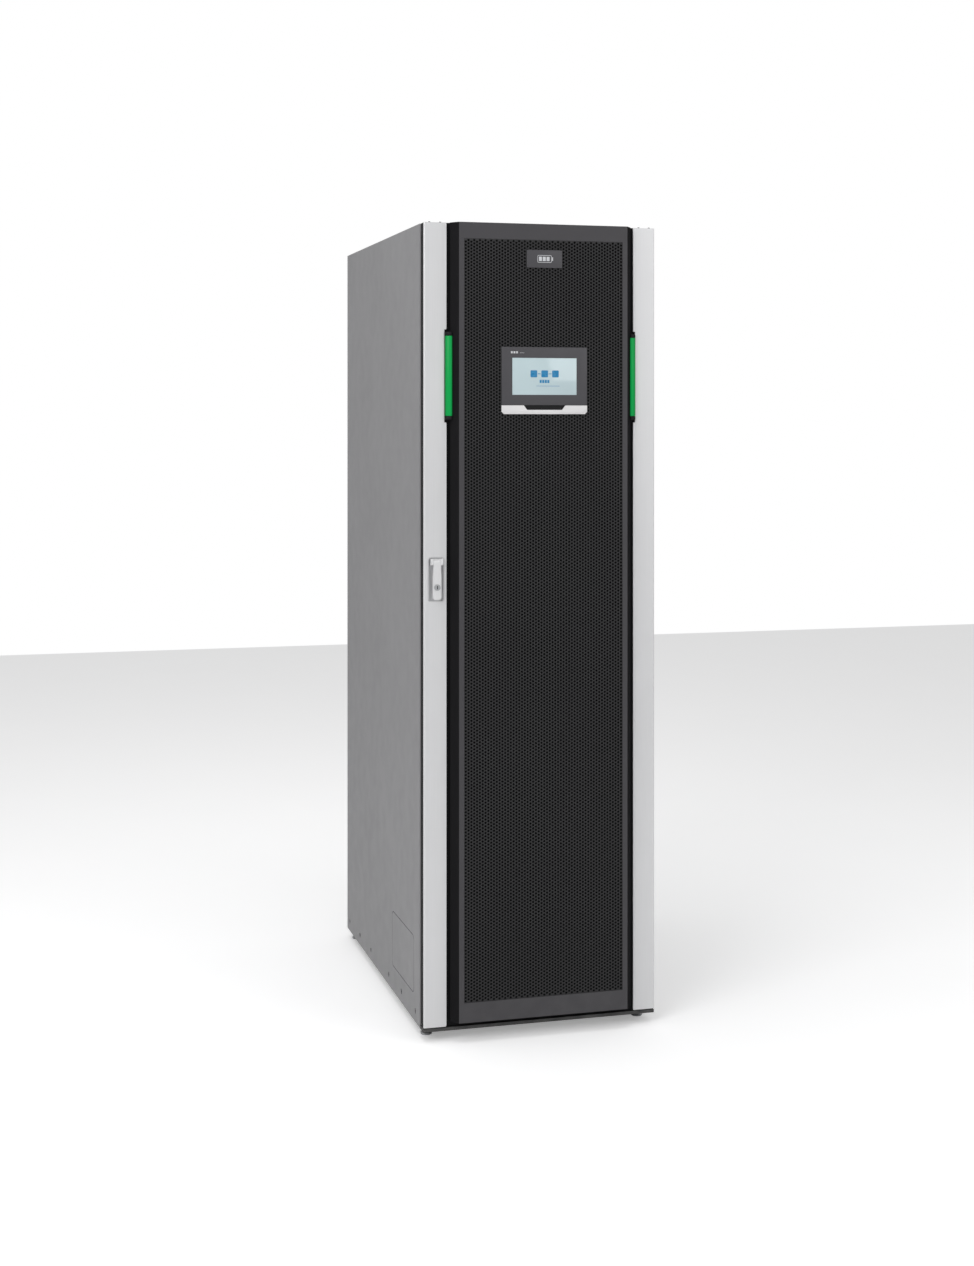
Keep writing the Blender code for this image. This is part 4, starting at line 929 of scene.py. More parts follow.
@dataclass
class DoorFront:
    """The door's pan, raised centre and aluminium trims, with their screws, beads and seal."""

    workshop: Workshop
    screw_spread: float = 0.0128
    seal_width: float = 0.009
    seal_thickness: float = 0.0018

    def build(self) -> None:
        """Dresses the door's CAD pieces and adds the small ones."""
        shop = self.workshop
        shop.dress(DOOR_PAINT, "centre_panel")
        self.paint_slope_shade()
        shop.dress(PAN_PAINT, "door_frame")
        shop.dress(TRIM_METAL, "left_trim", "right_trim")
        self.add_trim_screws()
        self.add_trim_edges()
        self.add_pan_screws()
        self.add_seal()
        self.add_stiffeners()
        self.add_filter_and_shade_pad()

    def paint_slope_shade(self) -> None:
        """Paints shade on the centre panel's slopes and edges: they take a darker, flatter copy of the door coat."""
        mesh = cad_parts["centre_panel"].data
        mesh.materials.append(SLOPE_PAINTED_SHADE.material(self.workshop.effects))
        for face in mesh.polygons:
            # Painted shade mask: faces turned sideways or away from the front take the darker copy.
            face.material_index = int(abs(face.normal.x) > 0.3 or face.normal.y > -0.3)

    def add_filter_and_shade_pad(self) -> None:
        """Adds the foam dust filter behind the perforated sheet; its near-black, dull coat is also painted shade for
        the inside seen through the holes.
        """
        low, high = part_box("perforated_sheet")
        pad_low = (low.x + 0.0015, high.y + 0.0010, low.z + 0.0015)
        pad_high = (high.x - 0.0015, high.y + 0.0055, high.z - 0.0015)
        pad = block(pad_low, pad_high, 0.0008)
        self.workshop.piece("door_dust_filter_and_shade_pad", pad, FILTER_FOAM_AND_SHADE, Body.DOOR, "black_plastic")

    def add_trim_screws(self) -> None:
        """Adds two screws on the top of each trim."""
        for name in ("left", "right"):
            low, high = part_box(f"{name}_trim")
            middle = (low.x + high.x) / 2
            y = (low.y + high.y) / 2
            places = [(middle + side * self.screw_spread, y, high.z) for side in (-1, 1)]
            kind = Screw(radius=0.0027, height=0.0015)
            self.workshop.piece(
                f"{name}_trim_top_screws", screws(places, Axis.Z, 1, kind), SCREW_BLACK, Body.DOOR, "zinc_steel"
            )

    def add_trim_edges(self) -> None:
        """Adds the slim bead along the inner edge of each trim, above and below the light."""
        for name, side in (("left", -1), ("right", 1)):
            low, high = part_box(f"{name}_trim")
            light_low, light_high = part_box(f"{name}_light_bar")
            inner = low.x if side > 0 else high.x
            gap = 0.0146
            runs = ((low.z + 0.001, light_low.z - gap - 0.001), (light_high.z + gap + 0.001, high.z - 0.001))
            parts = []
            for start, end in runs:
                x_low, x_high = sorted((inner - side * 0.0008, inner + side * 0.0012))
                parts.append(block((x_low, low.y - 0.0004, start), (x_high, low.y + 0.004, end), 0.0004))
            self.workshop.piece(f"{name}_trim_bead", merged(parts), TRIM_METAL, Body.DOOR, "satin_aluminium")

    def add_pan_screws(self) -> None:
        """Adds the screws that hold the trims, seen from inside the door."""
        low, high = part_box("door_frame")
        places = []
        for side in (-1, 1):
            for step in range(7):
                z = low.z + 0.09 + step * (high.z - low.z - 0.18) / 6
                places.append((side * 0.212, low.y + 0.0015, z))
        kind = Screw(radius=0.0042, height=0.0022, drive=Drive.HEX)
        self.workshop.piece("trim_back_screws", screws(places, Axis.Y, 1, kind), ZINC, Body.DOOR, "zinc_steel")

    def add_seal(self) -> None:
        """Adds the foam seal inside the pan, round its window."""
        low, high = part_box("perforated_sheet")
        pan_low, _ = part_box("door_frame")
        y = pan_low.y + 0.0015
        out, thick = self.seal_width, self.seal_thickness
        x, bottom, top = high.x + 0.003, low.z - 0.003, high.z + 0.003
        parts = [
            block((-x - out, y, bottom - out), (x + out, y + thick, bottom), 0.0006),
            block((-x - out, y, top), (x + out, y + thick, top + out), 0.0006),
            block((-x - out, y, bottom), (-x, y + thick, top), 0.0006),
            block((x, y, bottom), (x + out, y + thick, top), 0.0006),
        ]
        self.workshop.piece("door_window_seal", merged(parts), RUBBER_AND_PAINTED_SHADE, Body.DOOR, "black_plastic")

    def add_stiffeners(self) -> None:
        """Adds hat-section bars across the back of the perforated sheet."""
        low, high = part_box("perforated_sheet")
        parts = []
        for share in (0.12, 0.34, 0.56):
            z = low.z + share * (high.z - low.z)
            y = high.y + 0.0060
            outline = [
                (y, z - 0.020),
                (y, z - 0.010),
                (y + 0.010, z - 0.008),
                (y + 0.010, z + 0.008),
                (y, z + 0.010),
                (y, z + 0.020),
                (y + 0.0012, z + 0.020),
                (y + 0.0012, z + 0.0108),
                (y + 0.0112, z + 0.0092),
                (y + 0.0112, z - 0.0092),
                (y + 0.0012, z - 0.0108),
                (y + 0.0012, z - 0.020),
            ]
            parts.append(prism(outline, Axis.X, low.x + 0.002, high.x - 0.002))
        self.workshop.piece("door_stiffeners", merged(parts), PAN_PAINT, Body.DOOR, "dark_steel")


@dataclass
class LightBars:
    """The two green light bars: a rounded lens between dark end caps."""

    workshop: Workshop
    cap: float = 0.0085
    sections: int = 14

    def lens_outline(self, name: str, side: int) -> list[tuple[float, float]]:
        """Gives the lens's section, inside the CAD bar's.

        Args:
            name: left or right.
            side: -1 or 1.

        Returns:
            The (x, y) corners.
        """
        low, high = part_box(f"{name}_light_bar")
        trim_low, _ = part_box(f"{name}_trim")
        panel_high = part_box("centre_panel")[1]
        outer = max(abs(low.x), abs(high.x))
        inner = min(abs(low.x), abs(high.x))
        foot = panel_high.x + 0.0006
        start = Vector((inner + 0.0003, trim_low.y - 0.0105))
        end = Vector((outer, trim_low.y - 0.0025))
        middle = (start + end) / 2
        across = (end - start) / 2
        depth = min(0.0066, middle.y - low.y - 0.0012)
        bulge = Vector((across.y, -across.x)).normalized() * depth
        points = [(foot, high.y), (outer, high.y), tuple(end)]
        for step in range(1, self.sections):
            angle = pi * step / self.sections
            points.append(tuple(middle + across * cos(angle) + bulge * sin(angle)))
        points += [tuple(start), (foot, trim_low.y - 0.0050)]
        return [(side * x, y) for x, y in points]

    def build(self) -> None:
        """Builds both bars."""
        for name, side in (("left", -1), ("right", 1)):
            low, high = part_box(f"{name}_light_bar")
            outline = self.lens_outline(name, side)
            lens = prism(outline, Axis.Z, low.z + 0.0003, high.z - 0.0003, 0.0012)
            self.workshop.piece(
                f"{name}_light_lens", lens, LENS_GREEN, Body.DOOR, "green_lens", (f"{name}_light_bar",), 50
            )
            caps = merged(
                [
                    prism(outline, Axis.Z, high.z, high.z + self.cap, 0.0008),
                    prism(outline, Axis.Z, low.z - self.cap, low.z, 0.0008),
                ]
            )
            self.workshop.piece(f"{name}_light_end_caps", caps, BLACK_PLASTIC, Body.DOOR, "black_plastic")


@dataclass
class Display:
    """The touch display: housing, lit screen with generic marks, pale strip and the badge plate."""

    workshop: Workshop
    edge: float = 0.0012
    mark_depth: float = 0.0003

    def build(self) -> None:
        """Builds every part of the display."""
        self.add_housing()
        self.add_screen()
        self.add_marks()
        self.add_bezel_mark()
        self.add_strip()
        self.add_badge()

    def add_housing(self) -> None:
        """Builds the bezel as a rounded frame round the screen."""
        low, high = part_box("display_housing")
        low.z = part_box("display_trim")[1].z + 0.0003
        screen_low, screen_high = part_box("display_screen")
        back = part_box("centre_panel")[0].y - 0.0003
        shape = block((low.x, low.y + 0.0005, low.z), (high.x, back, high.z), self.edge, 3)
        front = min(shape.faces, key=lambda f: (round(f.calc_center_median().y, 6), -f.calc_area()))
        gap = 0.0004
        bmesh.ops.inset_region(shape, faces=[front], thickness=0.002)
        for vert in front.verts:
            vert.co.x = screen_high.x + gap if vert.co.x > 0 else screen_low.x - gap
            middle = (low.z + high.z) / 2
            vert.co.z = screen_high.z + gap if vert.co.z > middle else screen_low.z - gap
        bmesh.ops.inset_region(shape, faces=[front], thickness=0.0005)
        bmesh.ops.translate(shape, vec=(0, 0.0018, 0), verts=front.verts)
        self.workshop.piece(
            "display_bezel", shape, DISPLAY_PLASTIC, Body.DOOR, "display_plastic", ("display_housing",), 30
        )
        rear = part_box("display_housing")[1].y
        box_shape = block((low.x + 0.009, back, low.z + 0.002), (high.x - 0.009, rear, high.z - 0.009), 0.002)
        self.workshop.piece("display_rear_box", box_shape, BLACK_PLASTIC, Body.DOOR, "display_plastic")

    def add_screen(self) -> None:
        """Builds the lit screen with its soft edge."""
        low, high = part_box("display_screen")
        shape = block((low.x, low.y + 0.0002, low.z), (high.x, low.y + 0.0012, high.z), 0.0004)
        self.workshop.piece("display_lit_screen", shape, SCREEN, Body.DOOR, "screen_glass", ("display_screen",))

    def add_marks(self) -> None:
        """Draws a generic power-flow picture: a source, a converter, a battery and a load."""
        low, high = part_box("display_screen")
        y = low.y + 0.0002
        middle_x = (low.x + high.x) / 2
        middle_z = (low.z + high.z) / 2 + 0.006
        parts = []
        for offset in (-0.026, 0.0, 0.026):
            centre = middle_x + offset
            outer = rounded((centre - 0.008, middle_z - 0.008), (centre + 0.008, middle_z + 0.008), 0.002)
            parts.append(prism(outer, Axis.Y, y - self.mark_depth, y + 0.0002))
        for offset in (-0.013, 0.013):
            centre = middle_x + offset
            parts.append(block((centre - 0.0035, y - self.mark_depth, middle_z - 0.0008),
                               (centre + 0.0035, y + 0.0002, middle_z + 0.0008)))
        self.workshop.piece("screen_flow_marks", merged(parts), MARK_BLUE, Body.DOOR, "screen_glass")
        bars = []
        for index in range(4):
            left = middle_x - 0.012 + index * 0.0062
            bar_low = (left, y - self.mark_depth, middle_z - 0.021)
            bars.append(block(bar_low, (left + 0.0048, y + 0.0002, middle_z - 0.014)))
        bars.append(block((middle_x - 0.020, y - self.mark_depth, middle_z - 0.0285),
                          (middle_x + 0.036, y + 0.0002, middle_z - 0.0277)))
        self.workshop.piece("screen_charge_bars", merged(bars), MARK_BLUE, Body.DOOR, "screen_glass")

    def add_bezel_mark(self) -> None:
        """Adds a small generic mark at the bezel's top left: three short bars and a dot row."""
        low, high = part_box("display_housing")
        y = low.y + 0.0005
        z = high.z - 0.0125
        parts = []
        for index in range(3):
            left = low.x + 0.022 + index * 0.0062
            parts.append(block((left, y - 0.0004, z - 0.0024), (left + 0.0044, y + 0.0003, z + 0.0024), 0.0001))
        for index in range(5):
            left = low.x + 0.044 + index * 0.0022
            parts.append(block((left, y - 0.0004, z - 0.0016), (left + 0.0012, y + 0.0003, z - 0.0004), 0.0001))
        self.workshop.piece("bezel_mark", merged(parts), MARK_PALE, Body.DOOR, "pale_plastic")

    def add_strip(self) -> None:
        """Builds the pale strip below the display with its notch and cut corners."""
        low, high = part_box("display_trim")
        cut, top, bottom, drop = 0.0055, 0.050, 0.042, 0.0103
        outline = [
            (low.x + cut, low.z), (high.x - cut, low.z), (high.x, low.z + cut), (high.x, high.z), (top, high.z),
            (bottom, high.z - drop), (-bottom, high.z - drop), (-top, high.z), (low.x, high.z), (low.x, low.z + cut),
        ]
        shape = prism(outline, Axis.Y, low.y, high.y, 0.0006)
        self.workshop.piece("display_pale_strip", shape, PALE_PLASTIC, Body.DOOR, "pale_plastic", ("display_trim",))
        inner = [(top - 0.0006, high.z), (bottom - 0.0003, high.z - drop + 0.0005)]
        inner += [(-x, z) for x, z in reversed(inner)]
        shape = prism(inner, Axis.Y, low.y + 0.0005, high.y)
        self.workshop.piece("display_sensor_window", shape, BLACK_PLASTIC, Body.DOOR, "black_plastic")

    def add_badge(self) -> None:
        """Builds the badge plate with a generic battery mark in raised relief."""
        low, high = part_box("badge_plate")
        shape = prism(rounded((low.x, low.z), (high.x, high.z), 0.002), Axis.Y, low.y + 0.0003, high.y, 0.0005)
        self.workshop.piece("badge_blank", shape, DISPLAY_PLASTIC, Body.DOOR, "display_plastic", ("badge_plate",))
        middle_z = (low.z + high.z) / 2
        y = low.y + 0.0003
        frame_low, frame_high = (-0.017, middle_z - 0.0085), (0.017, middle_z + 0.0085)
        ring = prism(rounded(frame_low, frame_high, 0.0025), Axis.Y, y - self.mark_depth, y + 0.0003)
        front = min(ring.faces, key=lambda f: f.calc_center_median().y)
        bmesh.ops.inset_region(ring, faces=[front], thickness=0.0016)
        bmesh.ops.translate(ring, vec=(0, self.mark_depth * 1.5, 0), verts=front.verts)
        tip_low = (0.0178, y - self.mark_depth, middle_z - 0.004)
        parts = [ring, block(tip_low, (0.0205, y + 0.0003, middle_z + 0.004), 0.0003)]
        for index in range(3):
            left = -0.0135 + index * 0.0092
            bar_low = (left, y - self.mark_depth, middle_z - 0.005)
            parts.append(block(bar_low, (left + 0.0072, y + 0.0003, middle_z + 0.005), 0.0002))
        self.workshop.piece("badge_battery_mark", merged(parts), MARK_PALE, Body.DOOR, "pale_plastic")


def carved(node: str, cutter: bmesh.types.BMesh) -> bmesh.types.BMesh:
    """Cuts a shape out of a copy of a CAD node.

    Args:
        node: The node's name.
        cutter: What is cut away, which is freed.

    Returns:
        The cut copy.
    """
    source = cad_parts[node]
    base = bmesh.new()
    base.from_mesh(source.data)
    base.transform(source.matrix_world)
    bmesh.ops.remove_doubles(base, verts=base.verts, dist=1e-6)
    holders = []
    for label, bm in (("carved_base", base), ("carved_cutter", cutter)):
        mesh = bpy.data.meshes.new(label)
        bm.to_mesh(mesh)
        bm.free()
        holder = bpy.data.objects.new(label, mesh)
        bpy.context.scene.collection.objects.link(holder)
        holders.append(holder)
    cut = holders[0].modifiers.new("cut", "BOOLEAN")
    cut.operation = "DIFFERENCE"
    cut.object = holders[1]
    result = bmesh.new()
    result.from_object(holders[0], bpy.context.evaluated_depsgraph_get())
    for holder in holders:
        mesh = holder.data
        bpy.data.objects.remove(holder)
        bpy.data.meshes.remove(mesh)
    bmesh.ops.remove_doubles(result, verts=result.verts, dist=1e-6)
    return result


@dataclass
class SwingHandle:
    """The swing handle, its lock and the latch parts behind it."""

    workshop: Workshop

    def build(self) -> None:
        """Dresses the handle and adds the key slot, the leaf screws and the rod guides."""
        shop = self.workshop
        shop.dress(LEVER_METAL, "handle_lever", "handle_spindle")
        shop.dress(TRIM_METAL, "handle_dish")
        shop.dress(ZINC, "lock_cylinder", "lock_case", "upper_latch_rod", "lower_latch_rod")
        shop.dress(ZINC, "upper_latch_keeper", "lower_latch_keeper", "upper_hinge_leaf", "lower_hinge_leaf")
        shop.dress(ZINC, "upper_hinge_bracket", "lower_hinge_bracket", "upper_hinge_pin", "lower_hinge_pin")
        self.add_lock_ring()
        self.add_leaf_screws()
        self.add_rod_guides()

    def add_lock_ring(self) -> None:
        """Adds the shutter slot on the cylinder's face."""
        low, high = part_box("lock_cylinder")
        x, z = (low.x + high.x) / 2, (low.z + high.z) / 2
        slot_low, slot_high = (x - 0.0009, z - 0.0038), (x + 0.0009, z + 0.0038)
        slot = prism(rounded(slot_low, slot_high, 0.0008, 3), Axis.Y, low.y - 0.0002, low.y + 0.0008)
        self.workshop.piece("lock_key_slot", slot, BLACK_PLASTIC, Body.CYLINDER, "black_plastic")

    def add_leaf_screws(self) -> None:
        """Adds the screws of the hinge leaves."""
        for name in ("upper", "lower"):
            low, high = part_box(f"{name}_hinge_leaf")
            places = [(low.x + 0.008, high.y, low.z + 0.006), (low.x + 0.008, high.y, high.z - 0.006)]
            self.workshop.piece(
                f"{name}_leaf_screws", screws(places, Axis.Y, 1, Screw(radius=0.0032, height=0.002)),
                ZINC, Body.DOOR, "zinc_steel",
            )

    def add_rod_guides(self) -> None:
        """Adds the plastic guides that hold the latch rods to the pan."""
        for name, share in (("upper", 0.30), ("upper", 0.75), ("lower", 0.25), ("lower", 0.70)):
            low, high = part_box(f"{name}_latch_rod")
            z = low.z + share * (high.z - low.z)
            x = low.x + 0.004 if name == "lower" else high.x - 0.004
            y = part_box("lock_case")[0].y
            gap = 0.0006
            cheeks = [
                block((x - 0.011, y, z - 0.009), (x - 0.0045 - gap, high.y + 0.001, z + 0.009), 0.0008),
                block((x + 0.0045 + gap, y, z - 0.009), (x + 0.011, high.y + 0.001, z + 0.009), 0.0008),
            ]
            self.workshop.piece(
                f"{name}_rod_guide_{round(share * 100)}", merged(cheeks), BLACK_PLASTIC, Body.DOOR, "black_plastic"
            )


@dataclass
class CabinetShell:
    """Side panels, roof, rear panel and grille, with their screws, holes and slots."""

    workshop: Workshop
    slot_half: tuple[float, float] = (0.0058, 0.0064)
    slot_height: float = 0.026
    slot_shares: tuple[float, ...] = (0.052, 0.223, 0.386, 0.635, 0.799, 0.962)
    rear_inset: float = 0.0105
    cut_depth: float = 0.0017
    cut_overshoot: float = 0.001
    # Radius of the dark tube that paints the shadow in the knock-out's groove; it also sets the groove's size.
    bead: float = 0.0008
    flange: float = 0.006
    knockout_corner: float = 0.013
    slat_pitch: float = 0.0092
    slat_half: float = 0.0024

    def build(self) -> None:
        """Builds the shell's pieces."""
        self.workshop.dress(SIDE_PAINT, "left_knockout_plate", "right_knockout_plate")
        for name, side in (("left", -1), ("right", 1)):
            self.add_side(name, side)
            self.add_knockout_shade_line(name, side)
        self.add_roof()
        self.add_rear()
        self.add_grille()

    def add_side(self, name: str, side: int) -> None:
        """Cuts the screw holes and the knock-out's groove through a side panel and sets dark screws in the holes.

        Args:
            name: left or right.
            side: -1 or 1.
        """
        low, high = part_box(f"{name}_side_panel")
        outer = low.x if side < 0 else high.x
        z = low.z + self.slot_height
        half_y, half_z = self.slot_half
        cuts, places = [], []
        start, end = sorted((outer + side * self.cut_overshoot, outer - side * self.cut_depth))
        for share in self.slot_shares:
            y = low.y + share * (high.y - low.y)
            outline = rounded((y - half_y, z - half_z), (y + half_y, z + half_z), half_y - 0.0001)
            cuts.append(prism(outline, Axis.X, start, end))
            places.append((outer - side * 0.0016, y, z))
        plate_low, plate_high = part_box(f"{name}_knockout_plate")
        grow = self.flange - 2 * self.bead
        groove_low = (plate_low.y + grow, plate_low.z + grow)
        groove_high = (plate_high.y - grow, plate_high.z - grow)
        outline = rounded(groove_low, groove_high, self.knockout_corner)
        cuts.append(prism(outline, Axis.X, start, end))
        shape = carved(f"{name}_side_panel", merged(cuts))
        self.workshop.piece(
            f"{name}_panel_skin", shape, SIDE_PAINT, Body.CABINET, "side_paint", (f"{name}_side_panel",), 0.5
        )
        kind = Screw(radius=0.0034, height=0.0011)
        self.workshop.piece(
            f"{name}_panel_screws", screws(places, Axis.X, side, kind), SCREW_BLACK, Body.CABINET, "zinc_steel"
        )

    def add_knockout_shade_line(self, name: str, side: int) -> None:
        """Adds a dark tube in a cable knock-out's groove: painted shade for the shadow line in the gap.

        Args:
            name: left or right.
            side: -1 or 1.
        """
        low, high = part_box(f"{name}_knockout_plate")
        inset = self.flange - self.bead
        x = (low.x if side < 0 else high.x) - side * self.bead
        outline = rounded((low.y + inset, low.z + inset), (high.y - inset, high.z - inset), self.knockout_corner)
        path = [(x, y, z) for y, z in outline]
        # Painted shade: the dark tube draws the shadow line in the knock-out's groove.
        bead = tube(path + path[:2], self.bead, 6)
        self.workshop.piece(f"{name}_knockout_shade_line", bead, RUBBER_AND_PAINTED_SHADE, Body.CABINET, "black_plastic")

    def add_roof(self) -> None:
        """Adds the roof's screws and the knock-outs of its cable plate."""
        shop = self.workshop
        shop.dress(ROOF_PAINT, "roof_panel")
        low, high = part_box("roof_panel")
        plate_low, plate_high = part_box("roof_cable_plate")
        places = []
        for share in (0.12, 0.5, 0.88):
            y = low.y + share * (high.y - low.y)
            places += [(low.x + 0.014, y, high.z), (high.x - 0.014, y, high.z)]
        kind = Screw(radius=0.0046, height=0.0015)
        shop.piece("roof_screws", screws(places, Axis.Z, 1, kind), SCREW_BLACK, Body.CABINET, "zinc_steel")
        middle_y = (plate_low.y + plate_high.y) / 2
        pits, discs = [], []
        for x in (-0.105, -0.035, 0.035, 0.105):
            centre = (x, middle_y, plate_high.z)
            pits.append(turned([(0, -0.0006), (0.0265, -0.0006), (0.0265, 0.001), (0, 0.001)], Axis.Z, centre, 32))
            discs.append(turned([(0, -0.0005), (0.0255, -0.0005), (0.0255, 0.0), (0, 0.0)], Axis.Z, centre, 32))
        shop.piece(
            "roof_cable_cover", carved("roof_cable_plate", merged(pits)), ROOF_PAINT, Body.CABINET, "dark_steel",
            ("roof_cable_plate",), 0.5,
        )
        shop.piece("roof_knockouts", merged(discs), ROOF_PAINT, Body.CABINET, "dark_steel")

    def add_rear(self) -> None:
        """Cuts countersinks into the rear panel and sets the screws."""
        low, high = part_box("rear_panel")
        places = []
        for share in (0.03, 0.27, 0.5, 0.73, 0.97):
            z = low.z + share * (high.z - low.z)
            places += [(low.x + self.rear_inset, high.y, z), (high.x - self.rear_inset, high.y, z)]
        places += [(0.0, high.y, low.z + self.rear_inset), (0.0, high.y, high.z - self.rear_inset)]
        cuts = [
            turned([(0, -0.0011), (0.0036, -0.0011), (0.0056, 0.0004), (0, 0.0004)], Axis.Y, place, 20)
            for place in places
        ]
        shape = carved("rear_panel", merged(cuts))
        self.workshop.piece("rear_skin", shape, SIDE_PAINT, Body.CABINET, "side_paint", ("rear_panel",), 0.5)
        sunk = [(x, y - 0.0011, z) for x, y, z in places]
        kind = Screw(radius=0.0035, height=0.0009)
        self.workshop.piece("rear_screws", screws(sunk, Axis.Y, 1, kind), ZINC, Body.CABINET, "zinc_steel")

    def add_grille(self) -> None:
        """Builds the rear exhaust grille from slats and ribs."""
        low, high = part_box("rear_grille")
        border = 0.011
        parts = [
            block((low.x, low.y, low.z), (high.x, high.y, low.z + border)),
            block((low.x, low.y, high.z - border), (high.x, high.y, high.z)),
        ]
        for x in (low.x + border / 2, low.x / 3, 0.0, high.x / 3, high.x - border / 2):
            half = border / 2 if abs(x) > 0.1 else 0.003
            parts.append(block((x - half, low.y, low.z + border), (x + half, high.y, high.z - border)))
        count = int((high.z - low.z - 2 * border) / self.slat_pitch)
        start = (low.z + high.z) / 2 - (count - 1) / 2 * self.slat_pitch
        for index in range(count):
            z = start + index * self.slat_pitch
            parts.append(
                block(
                    (low.x + 0.001, low.y + 0.0001, z - self.slat_half),
                    (high.x - 0.001, high.y - 0.0001, z + self.slat_half),
                )
            )
        # Foam filter behind the slats; its near-black, dull coat is also painted shade that keeps the grille dark when
        # seen through the door's holes.
        pad_low = (low.x + 0.013, low.y - 0.007, low.z + 0.013)
        pad_high = (high.x - 0.013, low.y - 0.0006, high.z - 0.013)
        pad = block(pad_low, pad_high, 0.0008)
        self.workshop.piece("rear_filter_and_shade_pad", pad, FILTER_FOAM_AND_SHADE, Body.CABINET, "black_plastic")
        self.workshop.piece(
            "rear_slatted_grille", merged(parts), MODULE_PAINT, Body.CABINET, "dark_steel", ("rear_grille",)
        )


@dataclass
class CabinetFrame:
    """The welded base, posts and top frame, and the four levelling feet."""

    workshop: Workshop
    hole_half: float = 0.0046
    hole_pitch: float = 0.04445
    thread_pitch: float = 0.0018

    def build(self) -> None:
        """Dresses the frame and builds the posts' holes and the feet."""
        shop = self.workshop
        shop.dress(BASE_PAINT, "base_frame", "floor_plate")
        shop.dress(MODULE_PAINT, "top_frame")
        for corner in ("front_left", "front_right", "rear_left", "rear_right"):
            self.add_post(corner)
            self.add_foot(corner)

    def add_post(self, corner: str) -> None:
        """Cuts a post's row of square rack holes.

        Args:
            corner: The post's corner.
        """
        node = f"{corner}_post"
        low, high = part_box(node)
        front = corner.startswith("front")
        x = (low.x + high.x) / 2
        y_low, y_high = (low.y - 0.001, low.y + 0.006) if front else (high.y - 0.006, high.y + 0.001)
        count = int((high.z - low.z - 0.06) / self.hole_pitch)
        cuts = []
        for index in range(count):
            z = low.z + 0.045 + index * self.hole_pitch
            half = self.hole_half
            cuts.append(block((x - half, y_low, z - half), (x + half, y_high, z + half)))
        shape = carved(node, merged(cuts))
        self.workshop.piece(f"{corner}_punched_post", shape, MODULE_PAINT, Body.CABINET, "dark_steel", (node,), 0.5)

    def add_foot(self, corner: str) -> None:
        """Builds a levelling foot: pad, threaded stud and lock nut.

        Args:
            corner: The foot's corner.
        """
        node = f"{corner}_foot"
        low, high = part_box(node)
        x, y = (low.x + high.x) / 2, (low.y + high.y) / 2
        pad = (high.x - low.x) / 2
        profile = [(0, 0), (pad - 0.0012, 0), (pad, 0.0012), (pad, 0.0042), (pad - 0.0018, 0.0056)]
        profile += [(0.0068, 0.008), (0.0046, 0.0082)]
        level = 0.0085
        while level + self.thread_pitch < high.z - low.z - 0.001:
            profile += [(0.0043, level), (0.0050, level + self.thread_pitch / 2)]
            level += self.thread_pitch
        profile += [(0.0043, level), (0, level)]
        body = Body(f"{corner}_foot_body")
        shape = turned(profile, Axis.Z, (x, y, low.z), 20)
        self.workshop.piece(f"{corner}_levelling_stud", shape, ZINC, body, "zinc_steel", (node,), 50)
        nut = []
        for step in range(6):
            angle = pi / 3 * step
            nut.append((x + 0.0086 * cos(angle), y + 0.0086 * sin(angle)))
        shape = prism(nut, Axis.Z, low.z + 0.0125, low.z + 0.0185, 0.0005)
        self.workshop.piece(f"{corner}_lock_nut", shape, ZINC, body, "zinc_steel")


